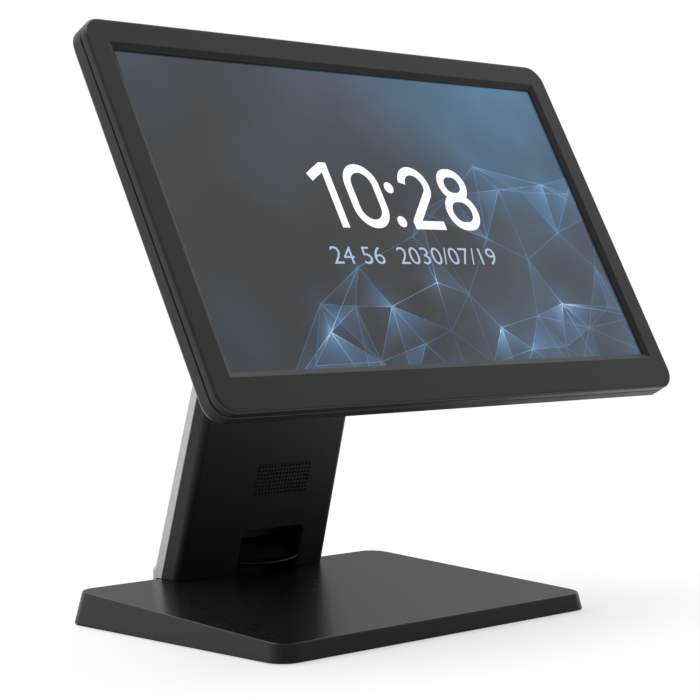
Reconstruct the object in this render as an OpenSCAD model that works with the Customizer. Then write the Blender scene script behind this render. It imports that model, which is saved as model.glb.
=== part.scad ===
// Countertop terminal: a tilting touch display on a leaning neck and a weighted base.
// X is to the right, Y to the back, Z up. The origin is the middle of the base,
// on the surface that the feet stand on.

/* [Base] */
// Width of the base at the bottom
base_w = 260; // [240:1:300]
// Depth of the base at the bottom
base_d = 186; // [176:1:220]
// Plan radius of the base's corners
base_r = 12; // [8:1:24]
// Height of the base's top at its front edge
base_front_z = 10.8; // [10:0.2:13]
// Height of the base's top at its back edge
base_back_z = 20.3; // [18:0.1:24]
// Slope of the base's side walls, in degrees from upright
base_draft = 9; // [0:1:14]
// Wall of the base cover
cover_wall = 2.2; // [1.8:0.1:2.6]
// Thickness of the steel base plate
plate_t = 5; // [3:0.5:5.5]
// How far the feet stand out below the plate
foot_h = 1.8; // [1.4:0.1:2]
// Centre distance of the counter bolts across
counter_x = 160; // [120:5:170]
// Centre distance of the counter bolts front to back
counter_y = 100; // [60:5:110]

/* [Neck] */
// Lean of the neck towards the front, in degrees
lean = 14.6; // [10:0.2:18]
// Distance of the neck's front face behind the origin at the base's top
neck_y = 72.9; // [68:0.1:74]
// Width of the neck at its foot
neck_w0 = 124; // [118:1:130]
// Width of the neck at its top
neck_w1 = 118; // [114:1:130]
// Depth of the neck at its foot
neck_d0 = 23; // [22:0.5:25]
// Depth of the neck at its top
neck_d1 = 16.4; // [16:0.2:20]
// Length of the neck's shells along the lean
neck_len = 206; // [200:1:212]
// Wall of the neck's shells
neck_wall = 2.2; // [1.8:0.1:2.4]
// Middle of the foot opening and the speaker, right of the neck's middle
side_x = 11.8; // [-12:0.1:12]
// Width of the foot opening
mouth_w = 51.6; // [40:0.1:52]
// Height of the foot opening
mouth_h = 28; // [20:0.5:32]

/* [Head] */
// Width of the head
head_w = 379; // [378:1:384]
// Height of the head along the screen
head_h = 236; // [235:1:240]
// Radius of the head's corners
head_r = 14.5; // [12:0.5:18]
// Width of the picture area, 15.6 inch at 16:9
active_w = 344.2; // [344.2:0.1:344.2]
// Height of the picture area
active_h = 193.6; // [193.6:0.1:193.6]
// Height of the bezel above the picture area
border_top = 18.4; // [17:0.1:20]
// Raise of the bezel's face over the glass
bezel_lip = 3; // [1:0.1:4]
// Lean of the screen back from upright, in degrees
tilt = 28.8; // [20:0.2:40]
// Height of the screen's middle above the counter
screen_z = 240.8; // [236:0.2:246]
// Distance of the screen's middle behind the origin
screen_y = -53; // [-60:0.5:-50]
// Depth of the housing's bulge behind the glass
bulge_depth = 38; // [36:1:40]

/* [Hinge] */
// Distance of the hinge's axis above the neck's foot, along the lean
axis_w = 225; // [224:0.5:228]
// Radius of the hinge shaft
shaft_r = 4; // [3:0.1:5]
// Running clearance between the shaft and the barrel
shaft_gap = 0.05; // [0.01:0.01:0.1]
// Outer radius of the hinge barrel
barrel_r = 11; // [10:0.5:12]
// Half the length of the hinge barrel
barrel_x = 27; // [24:1:30]

/* [Power button] */
// Length of the button
button_l = 14; // [10:1:18]
// Width of the button
button_w = 3.4; // [3:0.1:3.8]
// Clear travel behind the button
button_travel = 0.8; // [0.5:0.1:0.9]

/* [Hidden] */
$fn = 32;
eps = 0.02;
far = 600;

// Base
skirt_z = 0.5;
base_slope = atan((base_back_z - base_front_z) / base_d);
plate_top = foot_h + plate_t;
plate_gap = 0.4;
foot_x = 106;
foot_y = 70;
foot_r = 8;
pad_r = 15;
slot_d = 14.4;
base_screw_x = 114;
base_screw_y = 52;
counter_hole_r = 2.1;
core_flange = [34, 89];
core_bolt_x = 36;
core_bolt_y = [44, 66];
core_bolt_r = 2.5;
apron_y = base_d / 2 + 0.4;
apron_t = 3.4;
apron_low = 3;

// Neck, in its own frame: x across, y into the neck from its front face, z along the lean
neck_z = base_front_z + (base_back_z - base_front_z) * (neck_y + base_d / 2) / base_d;
apron_top = 27.2;
neck_r_front = 3;
neck_r_back = 2.6;
neck_low = -20;
part_y0 = 14;
part_y1 = 10.3;
core_x = 50.6;
core_y = 9.2;
core_t = 3;
core_top = 200;
neck_screw_x = 55.6;
neck_screw_z = [34, 100, 166];
grille_w = 44.4;
grille_h = 20;
grille_z = 61;
grille_t = 1.4;
grille_pitch = 3.6;
speaker_h = 17;
speaker_back = 14.2;
exit_z = 35;
exit_half = 14;
exit_r = 6;
mouth_r = 4.5;
guide_t = 1.5;
guide_back = 17.6;
lip_z = 2.4;
lip_out = 6;

// Head, in its own frame: x across, y up the screen, z out of the glass
border_bottom = head_h - active_h - border_top;
head_c = (border_top - border_bottom) / 2;
head_wall = 2.4;
bezel_back = -1.9;
strip_front = -2.6;
rim_back = -9.6;
shell_back = -14;
shell_in = 3;
glass_t = 1.8;
glass_w = active_w + 11.8;
glass_h = active_h + 11.4;
gasket_t = 0.5;
cell_t = 1.3;
light_t = 4;
panel_w = 359.5;
panel_h = 209;
cell_back = -(glass_t + gasket_t + cell_t);
light_back = cell_back - light_t;
frame_front = light_back - 0.4;
frame_t = 1.2;
frame_back = frame_front - frame_t;
boss_r = 3;
boss_x = 183.6;
boss_y = [head_c - 78, head_c, head_c + 78];
board_front = -14.2;
board_t = 1.6;
board_back = board_front - board_t;
board_w = 204;
board_h = 132;
board_c = -1;
bulge_w = 262;
bulge_h = 156;
bulge_c = 4;
bulge_in = 12;
bulge_r = 16;
bulge_side = -28;
post = [37.5, 37.5];
post_c = 14;
post_r = 4;
chip_x = -72;
storage_x = 74;
socket_z = -19.4;
socket_len = 14;
sockets = [[-78, 9, 10.8], [-58, 16, 11.5], [-36, 13.2, 6], [-19, 13.2, 6], [6, 15, 5.4],
    [26, 9, 3.6], [44, 13.2, 6], [62, 13.2, 6]];
button_x = head_w / 2;
button_y = 30;
button_z = -7.1;
button_d = 3.4;

// Hinge, with the axis found in the head's frame
axis_v = 8;
hinge_y = neck_y + axis_v * cos(lean) - axis_w * sin(lean);
hinge_z = neck_z + axis_v * sin(lean) + axis_w * cos(lean);
axis_h = (hinge_y - screen_y) * sin(tilt) + (hinge_z - screen_z) * cos(tilt);
axis_n = -(hinge_y - screen_y) * cos(tilt) + (hinge_z - screen_z) * sin(tilt);
bracket_t = 2.5;
bracket_back = -bulge_depth - bracket_t;
ear_x = 29;
ear_t = 4;
ear_half = 22;
washer_t = 1.6;
nut_t = 5;
nut_r = 7.2;
cheek_gap = 1;
cheek_t = 2.4;

// Rectangle with round corners, as true arcs
module round_rect(w, h, r) {
    square([w - 2 * r, h], center = true);
    square([w, h - 2 * r], center = true);
    for (x = [-1, 1], y = [-1, 1])
        translate([x * (w / 2 - r), y * (h / 2 - r)]) circle(r);
}

// Plate with round corners between two heights
module slab(w, h, r, z0, z1) {
    translate([0, 0, min(z0, z1)]) linear_extrude(abs(z1 - z0)) round_rect(w, h, r);
}

module in_head() {
    translate([0, screen_y, screen_z]) rotate([90 - tilt, 0, 0]) children();
}

module in_neck() {
    translate([0, neck_y, neck_z]) rotate([lean, 0, 0]) children();
}

module at_hinge() {
    translate([0, hinge_y, hinge_z]) rotate([0, 90, 0]) children();
}

module at_bosses() {
    for (x = [-1, 1], y = boss_y) translate([x * boss_x, y, 0]) children();
    for (x = [-1, 1], y = [-1, 1])
        translate([x * 96, head_c + y * (head_h / 2 - 5.9), 0]) children();
}

module at_posts() {
    for (x = [-1, 1], y = [-1, 1])
        translate([x * post[0], post_c + y * post[1], 0]) children();
}

// ---- Base ----

// Everything above the base's sloping top, raised by a gap
module above_base(gap) {
    translate([0, -base_d / 2, base_front_z + gap]) rotate([base_slope, 0, 0])
        translate([-far / 2, -far / 2, 0]) cube([far, far, far]);
}

// Wedge with sloping walls, drawn in from every side by an inset
module base_form(inset, low) {
    pull = tan(base_draft);
    hull() {
        translate([0, 0, low])
            linear_extrude(eps) round_rect(base_w - 2 * inset, base_d - 2 * inset, base_r - inset);
        translate([0, -base_d / 2, base_front_z - inset]) rotate([base_slope, 0, 0])
            translate([0, base_d / 2, -eps])
                linear_extrude(eps)
                    round_rect(base_w - 2 * inset - 2 * pull * base_front_z,
                        base_d - 2 * inset - 2 * pull * base_front_z, base_r - inset);
    }
}

module base_cover() {
    color([0.07, 0.07, 0.075]) {
        difference() {
            base_form(0, skirt_z);
            base_form(cover_wall, skirt_z - 2 * eps);
            translate([-core_x - 1, neck_y + 1.5, plate_top])
                cube([2 * core_x + 2, slot_d, 2 * base_back_z]);
        }
        intersection() {
            base_form(cover_wall / 2, skirt_z);
            for (x = [-1, 1], y = [-1, 1])
                translate([x * base_screw_x, y * base_screw_y, plate_top]) difference() {
                    cylinder(r = 3, h = base_back_z);
                    translate([0, 0, -eps]) cylinder(r = 1.2, h = 1.8);
                }
        }
    }
}

module base_plate() {
    side = cover_wall + plate_gap + 1.4;
    color([0.45, 0.45, 0.47]) difference() {
        slab(base_w - 2 * side, base_d - 2 * side, base_r - side, foot_h, plate_top);
        for (x = [-1, 1], y = [-1, 1]) {
            translate([x * counter_x / 2, y * counter_y / 2, 0])
                cylinder(r = counter_hole_r, h = 2 * plate_top);
            translate([x * base_screw_x, y * base_screw_y, 0]) {
                cylinder(r = 1.6, h = 2 * plate_top);
                cylinder(r = 3.2, h = foot_h + 2.2);
            }
        }
        for (x = [-1, 1], y = core_bolt_y)
            translate([x * core_bolt_x, y, 0]) cylinder(r = core_bolt_r, h = 2 * plate_top);
    }
}

module base_feet() {
    color([0.12, 0.12, 0.12]) {
        for (x = [-1, 1], y = [-1, 1])
            translate([x * foot_x, y * foot_y, 0]) cylinder(r = foot_r, h = foot_h);
        cylinder(r = pad_r, h = foot_h);
    }
}

module base_screws() {
    color("dimgray") for (x = [-1, 1], y = [-1, 1])
        translate([x * base_screw_x, y * base_screw_y, foot_h + 0.2]) {
            cylinder(r = 2.9, h = 2);
            cylinder(r = 1.15, h = plate_t + 1);
        }
}

// ---- Neck ----

function neck_mix(z) = z / neck_len;
function neck_w(z) = neck_w0 + (neck_w1 - neck_w0) * neck_mix(z);
function neck_d(z) = neck_d0 + (neck_d1 - neck_d0) * neck_mix(z);

// One cross-section of the neck at a distance along the lean
module neck_slice(z, inset) {
    half = neck_w(z) / 2;
    translate([0, 0, z]) linear_extrude(eps) hull() for (x = [-1, 1]) {
        translate([x * (half - neck_r_front), neck_r_front]) circle(neck_r_front - inset);
        translate([x * (half - neck_r_back - inset), neck_d(z) - neck_r_back - inset])
            circle(neck_r_back);
    }
}

module neck_form(inset) {
    hull() {
        neck_slice(neck_low, inset);
        neck_slice(neck_len, inset);
    }
}

// Space in front of the parting line between the two shells
module before_parting(gap) {
    rotate([90, 0, 90]) translate([0, 0, -far / 2]) linear_extrude(far)
        polygon([[-far, -far], [part_y0 - gap, -far], [part_y0 - gap, 0],
            [part_y1 - gap, neck_len], [part_y1 - gap, far], [-far, far]]);
}

module at_neck_screws() {
    for (x = [-1, 1], z = neck_screw_z)
        translate([x * (neck_screw_x - 2 * neck_mix(z)), 0, z]) rotate([-90, 0, 0]) children();
}

// Long round hole through the back of the neck
module cable_exit(grow, y0, y1) {
    translate([0, y0, exit_z]) rotate([-90, 0, 0]) linear_extrude(y1 - y0) {
        square([2 * exit_half, 2 * (exit_r + grow)], center = true);
        for (x = [-1, 1]) translate([x * exit_half, 0]) circle(exit_r + grow);
    }
}

// Outline of the foot opening, its lower edge below the base's top
module mouth(grow, y0, y1) {
    translate([side_x, y1, (mouth_h - 12) / 2]) rotate([90, 0, 0]) linear_extrude(y1 - y0)
        round_rect(mouth_w + 2 * grow, mouth_h + 12 + 2 * grow, mouth_r + grow);
}

module neck_front_shell() {
    color([0.05, 0.05, 0.055]) intersection() {
        above_base(0.2);
        in_neck() {
            difference() {
                intersection() {
                    neck_form(0);
                    before_parting(0.15);
                }
                difference() {
                    neck_form(neck_wall);
                    at_neck_screws() cylinder(r = 2.9, h = part_y1 - 0.5);
                }
                mouth(0, -far / 2, far / 2);
                translate([side_x - grille_w / 2, -1, grille_z - grille_h / 2])
                    cube([grille_w, 2 * neck_wall, grille_h]);
                at_neck_screws() translate([0, 0, neck_wall]) cylinder(r = 1.2, h = 20);
            }
        }
    }
}

module neck_rear_shell() {
    color([0.68, 0.69, 0.70]) {
        intersection() {
            above_base(0.2);
            in_neck() difference() {
                neck_form(0);
                before_parting(-0.15);
                neck_form(neck_wall);
                cable_exit(0, part_y0, far);
                at_neck_screws() {
                    cylinder(r = 1.6, h = 40);
                    translate([0, 0, part_y0 + 2.6]) cylinder(r = 3, h = 20);
                }
            }
        }
        translate([0, apron_y + apron_t, (apron_top + apron_low) / 2]) rotate([90, 0, 0])
            linear_extrude(apron_t) round_rect(neck_w0 - 2, apron_top - apron_low, 3);
    }
}

module cable_grommet() {
    wall_y = neck_d(exit_z) - neck_wall;
    color([0.08, 0.08, 0.08]) in_neck() difference() {
        union() {
            cable_exit(-0.1, wall_y - 1, wall_y + neck_wall + 1);
            cable_exit(1.4, wall_y + neck_wall + 0.3, wall_y + neck_wall + 1.5);
        }
        cable_exit(-1.5, 0, far);
    }
}

module neck_top_cap() {
    color([0.05, 0.05, 0.055]) in_neck() difference() {
        hull() {
            neck_slice(neck_len + 0.2, 0.2);
            neck_slice(neck_len + 2.4, 0.6);
        }
        translate([-barrel_x + 1.6, 1.8, neck_len - 5]) cube([2 * barrel_x - 3.2, 12.4, 20]);
    }
}

module neck_core() {
    color([0.5, 0.5, 0.52]) {
        difference() {
            translate([-core_x, core_flange[0], plate_top])
                cube([2 * core_x, core_flange[1] - core_flange[0], core_t]);
            for (x = [-1, 1], y = core_bolt_y)
                translate([x * core_bolt_x, y, 0]) cylinder(r = core_bolt_r + 0.2, h = far);
        }
        in_neck() difference() {
            translate([-core_x, core_y, neck_low + 7.6])
                cube([2 * core_x, core_t, core_top - neck_low - 7.6]);
            mouth(guide_t + 1, 0, far);
            translate([side_x - grille_w / 2, 0, grille_z - speaker_h / 2 - 1])
                cube([grille_w, far, speaker_h + 2]);
            for (z = [100, 132]) translate([-26, 0, z]) cube([52, far, 22]);
            for (x = [-1, 1]) translate([x * 14, 0, 186]) rotate([-90, 0, 0])
                cylinder(r = 2.2, h = far);
        }
    }
}

module core_bolts() {
    color("dimgray") {
        for (x = [-1, 1], y = core_bolt_y) translate([x * core_bolt_x, y, foot_h + 0.4]) {
            cylinder(r = core_bolt_r - 0.1, h = plate_t + core_t - 0.4);
            translate([0, 0, plate_t + core_t - 0.4]) cylinder(r = 4.2, h = 3.6);
        }
        in_neck() for (x = [-1, 1]) translate([x * 14, core_y - 4, 186]) rotate([-90, 0, 0]) {
            cylinder(r = 2.1, h = 4 + core_t);
            translate([0, 0, 4 + core_t]) cylinder(r = 3.4, h = 1.2);
        }
    }
}

module neck_screws() {
    color("dimgray") in_neck() at_neck_screws() {
        translate([0, 0, 7]) cylinder(r = 1.15, h = part_y0 + 2.6 - 7);
        translate([0, 0, part_y0 + 2.6]) cylinder(r = 2.7, h = 1.4);
    }
}

module speaker_grille() {
    nx = floor((grille_w - 2.5) / grille_pitch);
    nz = floor((grille_h - 2.5) / grille_pitch);
    color([0.03, 0.03, 0.03]) in_neck() translate([side_x, 0, grille_z]) difference() {
        translate([-grille_w / 2 + 0.1, 0, -grille_h / 2 + 0.1])
            cube([grille_w - 0.2, grille_t, grille_h - 0.2]);
        for (i = [0:nx - 1], k = [0:nz - 1])
            translate([(i - (nx - 1) / 2) * grille_pitch, -1, (k - (nz - 1) / 2) * grille_pitch])
                rotate([-90, 0, 0]) cylinder(r = 0.9, h = 4, $fn = 16);
    }
}

module acoustic_mesh() {
    color([0.1, 0.1, 0.1]) in_neck()
        translate([side_x - grille_w / 2 + 0.1, grille_t, grille_z - grille_h / 2 + 0.1])
            cube([grille_w - 0.2, 0.4, grille_h - 0.2]);
}

module speaker_frame() {
    color([0.15, 0.15, 0.16]) in_neck() translate([side_x, 0, grille_z]) {
        difference() {
            translate([0, 3.6, 0]) rotate([90, 0, 0]) mirror([0, 0, 1])
                linear_extrude(4.4) round_rect(grille_w - 3, speaker_h, 3);
            translate([0, 3, 0]) rotate([90, 0, 0]) mirror([0, 0, 1])
                linear_extrude(3.4) round_rect(grille_w - 7, speaker_h - 4, 3);
        }
        translate([0, 8, 0]) rotate([-90, 0, 0]) cylinder(r = 7.5, h = speaker_back - 8);
    }
}

module speaker_cone() {
    color([0.2, 0.2, 0.2]) in_neck() translate([side_x, 4, grille_z]) rotate([90, 0, 0])
        mirror([0, 0, 1]) slab(grille_w - 8, speaker_h - 5, 3, 0, 0.8);
}

// Moulded pocket with a ramp that ends in a bowed lip
module cable_guide() {
    bow_r = (pow(mouth_w / 2, 2) + pow(lip_out, 2)) / (2 * lip_out);
    color([0.04, 0.04, 0.045]) intersection() {
        above_base(0.3);
        in_neck() {
            difference() {
                mouth(guide_t - 0.3, neck_wall + 0.2, guide_back);
                mouth(-0.3, -1, guide_back - guide_t);
            }
            intersection() {
                translate([side_x + mouth_w / 2 - 0.4, 0, 0]) rotate([90, 0, -90])
                    linear_extrude(mouth_w - 0.8)
                        polygon([[lip_out + 1, lip_z], [lip_out + 1, lip_z + 1],
                            [0, lip_z + 3.2], [-8, lip_z + 7.4],
                            [-guide_back + 0.5, lip_z + 10], [-guide_back + 0.5, lip_z]]);
                translate([side_x, bow_r - lip_out, -10]) cylinder(r = bow_r, h = 60, $fn = 96);
            }
        }
    }
}

// ---- Head ----

module front_bezel() {
    color([0.06, 0.06, 0.065]) in_head() {
        difference() {
            translate([0, head_c, 0]) slab(head_w, head_h, head_r, bezel_back, bezel_lip);
            translate([0, 0, -far / 2])
                linear_extrude(far) round_rect(active_w, active_h, 0.8);
            translate([0, head_c, 0])
                slab(head_w - 2 * head_wall, head_h - 2 * head_wall, head_r - head_wall,
                    bezel_back - 1, 0);
        }
        at_bosses() translate([0, 0, frame_front]) difference() {
            cylinder(r = boss_r, h = -frame_front);
            translate([0, 0, -1]) cylinder(r = 1.1, h = 6);
        }
    }
}

module touch_glass() {
    color([0.03, 0.05, 0.08]) in_head() slab(glass_w, glass_h, 3, -glass_t, 0);
}

module display_gasket() {
    color([0.1, 0.1, 0.1]) in_head() difference() {
        slab(glass_w, glass_h, 3, -glass_t - gasket_t, -glass_t);
        slab(active_w + 2, active_h + 2, 1, -10, 0);
    }
}

module lcd_cell() {
    color([0.1, 0.12, 0.2]) in_head()
        slab(panel_w, panel_h, 1, cell_back, -glass_t - gasket_t);
}

module backlight_unit() {
    color([0.75, 0.75, 0.75]) in_head() slab(panel_w, panel_h, 1, light_back, cell_back);
}

// Steel chassis with windows, board standoffs and the posts that the hinge bolts to
module middle_frame() {
    post_top = -bulge_depth + head_wall;
    color([0.6, 0.6, 0.62]) in_head() {
        difference() {
            translate([0, head_c, 0]) slab(head_w - 8, head_h - 8, 8, frame_back, frame_front);
            at_bosses() translate([0, 0, frame_back - 1]) cylinder(r = 1.6, h = 4);
            for (x = [-1, 1]) translate([x * 140, 0, frame_back - 1])
                linear_extrude(4) round_rect(46, 120, 6);
            at_posts() translate([0, 0, frame_back - 1]) cylinder(r = 2, h = 4);
            translate([button_x - 9, button_y - 11, frame_back - 1]) cube([9, 22, 4]);
        }
        at_posts() translate([0, 0, post_top]) difference() {
            cylinder(r = post_r, h = frame_back - post_top);
            translate([0, 0, -1]) cylinder(r = 2, h = 40);
        }
        for (x = [-1, 1], y = [-1, 1])
            translate([x * (board_w / 2 - 6), board_c + y * (board_h / 2 - 6), board_front])
                cylinder(r = 2.6, h = frame_back - board_front);
    }
}

module main_board() {
    color([0.05, 0.3, 0.15]) in_head() difference() {
        translate([0, board_c, 0]) slab(board_w, board_h, 2, board_back, board_front);
        at_posts() translate([0, 0, board_back - 1]) cylinder(r = post_r + 0.6, h = 4);
    }
}

module main_chips() {
    color([0.1, 0.1, 0.1]) in_head() translate([0, 0, board_back]) {
        translate([chip_x, board_c, -1.6]) slab(26, 26, 1, 0, 1.6);
        for (i = [0:3]) translate([chip_x + 24, board_c - 18 + 12 * i, -1.1])
            slab(12, 9, 0.6, 0, 1.1);
        for (i = [0:2]) translate([-14 + 14 * i, board_c + 44, -2]) slab(8, 8, 0.6, 0, 2);
    }
}

module heat_sink() {
    fins = 9;
    color("silver") in_head() translate([chip_x, board_c, board_back - 1.6]) {
        slab(52, 76, 2, -3, 0);
        for (i = [0:fins - 1])
            translate([-25 + 50 / (fins - 1) * i - 0.6, -36, -12]) cube([1.2, 72, 9 + eps]);
    }
}

module storage_module() {
    color([0.05, 0.25, 0.4]) in_head() translate([storage_x, board_c, board_back]) {
        translate([0, -37, -4.2]) slab(22, 6, 0.5, 0, 4.2);
        translate([0, 4, -3.4]) slab(22, 76, 0.5, 0, 0.8);
        translate([0, 12, -4.6]) slab(14, 18, 0.5, 0, 1.2);
    }
}

module touch_board() {
    color([0.1, 0.3, 0.4]) in_head() translate([-128, -88, 0])
        slab(60, 16, 1, frame_back - 1.4, frame_back);
}

module panel_ribbon() {
    color([0.8, 0.6, 0.3]) in_head() translate([120, -98, 0]) {
        slab(30, 12, 1, frame_back - 0.5, frame_back);
        translate([-15, -6, frame_back - 0.5]) cube([0.5, 12, 0.5]);
        translate([-32, 0, frame_back - 2.4]) slab(40, 12, 1, 0, 0.5);
    }
}

module socket_row() {
    color([0.5, 0.5, 0.52]) in_head()
        for (s = sockets) translate([s[0], bulge_c - bulge_h / 2 + 1.4, board_back - s[2] - 0.6])
            difference() {
                translate([-s[1] / 2, 0, 0]) cube([s[1], socket_len, s[2] + 0.6]);
                translate([-s[1] / 2 + 0.8, -1, 0.8]) cube([s[1] - 1.6, 3.4, s[2] - 1]);
            }
}

// Dish of the rear housing with its bulge; the inset draws every wall in
module housing_form(inset) {
    w = head_w - 2 * inset;
    h = head_h - 2 * inset;
    bw = bulge_w - 2 * inset;
    bh = bulge_h - 2 * inset;
    fit = 0.1;
    translate([0, head_c, 0])
        slab(w, h, head_r - inset, rim_back, strip_front + (inset > 0 ? 1 : 0));
    hull() translate([0, head_c, 0]) {
        slab(w - fit, h - fit, head_r - inset, rim_back, rim_back + 1);
        slab(w - 2 * shell_in, h - 2 * shell_in, head_r - inset,
            shell_back + inset, shell_back + inset + eps);
    }
    hull() translate([0, bulge_c, 0]) {
        slab(bw, bh, bulge_r - inset, bulge_side, rim_back - 0.3);
        slab(bw - 2 * bulge_in, bh - 2 * bulge_in, bulge_r - inset,
            -bulge_depth + inset, -bulge_depth + inset + eps);
    }
}

module button_shape(grow, x0, x1) {
    r = button_w / 2 + grow;
    half = button_l / 2 - button_w / 2;
    translate([x0, button_y, button_z]) rotate([90, 0, 90]) linear_extrude(x1 - x0) {
        square([2 * half, 2 * r], center = true);
        for (i = [-1, 1]) translate([i * half, 0]) circle(r);
    }
}

module rear_housing() {
    color([0.06, 0.06, 0.065]) in_head() difference() {
        housing_form(0);
        housing_form(head_wall);
        button_shape(0.25, head_w / 2 - 10, head_w / 2 + 5);
        at_posts() translate([0, 0, -bulge_depth - 1]) cylinder(r = 2.3, h = 10);
        at_bosses() translate([0, 0, shell_back - 1]) {
            cylinder(r = 1.6, h = 10);
            cylinder(r = 2.5, h = 2.4);
        }
        for (s = sockets)
            translate([s[0] - s[1] / 2 - 0.4, bulge_c - bulge_h / 2 - 5, board_back - s[2] - 1])
                cube([s[1] + 0.8, 12, s[2] + 1.4]);
        for (i = [0:15]) translate([-90 + 12 * i - 2, bulge_c + 40, -bulge_depth - 1])
            cube([4, 20, 6]);
        for (i = [0:15]) translate([-90 + 12 * i - 2, bulge_c + bulge_h / 2 - 6, -26])
            cube([4, 12, 9]);
    }
}

module power_button() {
    color([0.1, 0.1, 0.1]) in_head() {
        button_shape(0, button_x - button_d, button_x + 0.5);
        button_shape(0.7, button_x - button_d, button_x - head_wall - 0.2);
    }
}

module button_board() {
    tip = button_x - button_d - button_travel - 0.1;
    color([0.1, 0.35, 0.2]) in_head() {
        translate([tip - 1.6, button_y - 9, button_z - 2.2]) cube([1, 18, 4.6]);
        translate([tip - 0.6, button_y - 2, button_z - 1.4]) cube([0.6, 4, 2.8]);
    }
}

module bezel_screws() {
    color("dimgray") in_head() at_bosses() translate([0, 0, shell_back + 0.2]) {
        cylinder(r = 2.2, h = 1.2);
        cylinder(r = 1.05, h = 9.4);
    }
}

// ---- Hinge ----

// Side view of an ear, from the bracket's plate to a round end at the axis
module ear(grow) {
    polygon([[axis_h - ear_half - grow, bracket_back + 1], [axis_h + ear_half + grow,
        bracket_back + 1], [axis_h + barrel_r + grow, axis_n + 4],
        [axis_h + barrel_r + grow, axis_n], [axis_h - barrel_r - grow, axis_n],
        [axis_h - barrel_r - grow, axis_n + 4]]);
    translate([axis_h, axis_n]) circle(barrel_r + grow);
}

module ear_plate(grow, x0, x1) {
    translate([x0, 0, 0]) rotate([90, 0, 90]) linear_extrude(x1 - x0) ear(grow);
}

module hinge_bracket() {
    color([0.35, 0.35, 0.37]) difference() {
        in_head() {
            difference() {
                translate([0, post_c, 0]) slab(96, 96, 8, bracket_back, -bulge_depth);
                at_posts() translate([0, 0, bracket_back - 1]) cylinder(r = 2.3, h = 10);
            }
            for (s = [-1, 1]) ear_plate(0, s > 0 ? ear_x : -ear_x - ear_t,
                s > 0 ? ear_x + ear_t : -ear_x);
        }
        at_hinge() translate([0, 0, -far / 2]) cylinder(r = shaft_r, h = far);
    }
}

module bracket_screws() {
    color("dimgray") in_head() at_posts() translate([0, 0, bracket_back]) {
        translate([0, 0, -2.4]) cylinder(r = 3.8, h = 2.4);
        cylinder(r = 1.9, h = 12);
    }
}

module hinge_shaft() {
    half = ear_x + ear_t + nut_t + 1;
    color([0.7, 0.7, 0.72]) at_hinge() translate([0, 0, -half]) cylinder(r = shaft_r, h = 2 * half);
}

module hinge_nuts() {
    color([0.6, 0.6, 0.62]) at_hinge() for (s = [0, 1]) mirror([0, 0, s])
        translate([0, 0, ear_x + ear_t]) difference() {
            cylinder(r = nut_r, h = nut_t, $fn = 6);
            translate([0, 0, -1]) cylinder(r = shaft_r, h = nut_t + 2);
        }
}

// Two moulded cheeks that hide the ears and nuts
module hinge_cover() {
    inner = ear_x + ear_t + nut_t + 1 + cheek_gap;
    color([0.06, 0.06, 0.065]) in_head() difference() {
        for (s = [-1, 1]) ear_plate(3.4, s > 0 ? ear_x - 0.4 : -inner - cheek_t,
            s > 0 ? inner + cheek_t : -ear_x + 0.4);
        for (s = [-1, 1]) ear_plate(1, s > 0 ? ear_x - 3 : -inner, s > 0 ? inner : -ear_x + 3);
        translate([0, post_c, 0]) slab(96.6, 96.6, 8, bracket_back - 0.2, 10);
        at_posts() translate([0, 0, bracket_back - 5]) cylinder(r = 4.4, h = 10);
    }
}

module hinge_barrel() {
    color([0.2, 0.2, 0.21]) difference() {
        union() {
            at_hinge() translate([0, 0, -barrel_x]) cylinder(r = barrel_r, h = 2 * barrel_x);
            in_neck() translate([-barrel_x + 2, 2.4, core_top - 36])
                cube([2 * barrel_x - 4, core_y - 2.4, axis_w - core_top + 36]);
        }
        at_hinge() translate([0, 0, -far / 2]) cylinder(r = shaft_r + shaft_gap, h = far);
        in_neck() for (x = [-1, 1]) translate([x * 14, 1, 186]) rotate([-90, 0, 0])
            cylinder(r = 2.1, h = 20);
    }
}

module friction_washers() {
    color([0.75, 0.7, 0.5]) at_hinge() for (s = [0, 1]) mirror([0, 0, s])
        translate([0, 0, barrel_x]) difference() {
            cylinder(r = barrel_r - 2, h = washer_t);
            translate([0, 0, -1]) cylinder(r = shaft_r + shaft_gap, h = washer_t + 2);
        }
}

front_bezel();
touch_glass();
display_gasket();
lcd_cell();
backlight_unit();
middle_frame();
main_board();
main_chips();
heat_sink();
storage_module();
touch_board();
panel_ribbon();
socket_row();
rear_housing();
button_board();
power_button();
hinge_bracket();
hinge_shaft();
hinge_nuts();
hinge_cover();
bezel_screws();
bracket_screws();
hinge_barrel();
friction_washers();
neck_core();
neck_front_shell();
neck_rear_shell();
cable_grommet();
neck_top_cap();
speaker_grille();
acoustic_mesh();
speaker_frame();
speaker_cone();
cable_guide();
neck_screws();
core_bolts();
base_cover();
base_plate();
base_feet();
base_screws();
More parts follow.
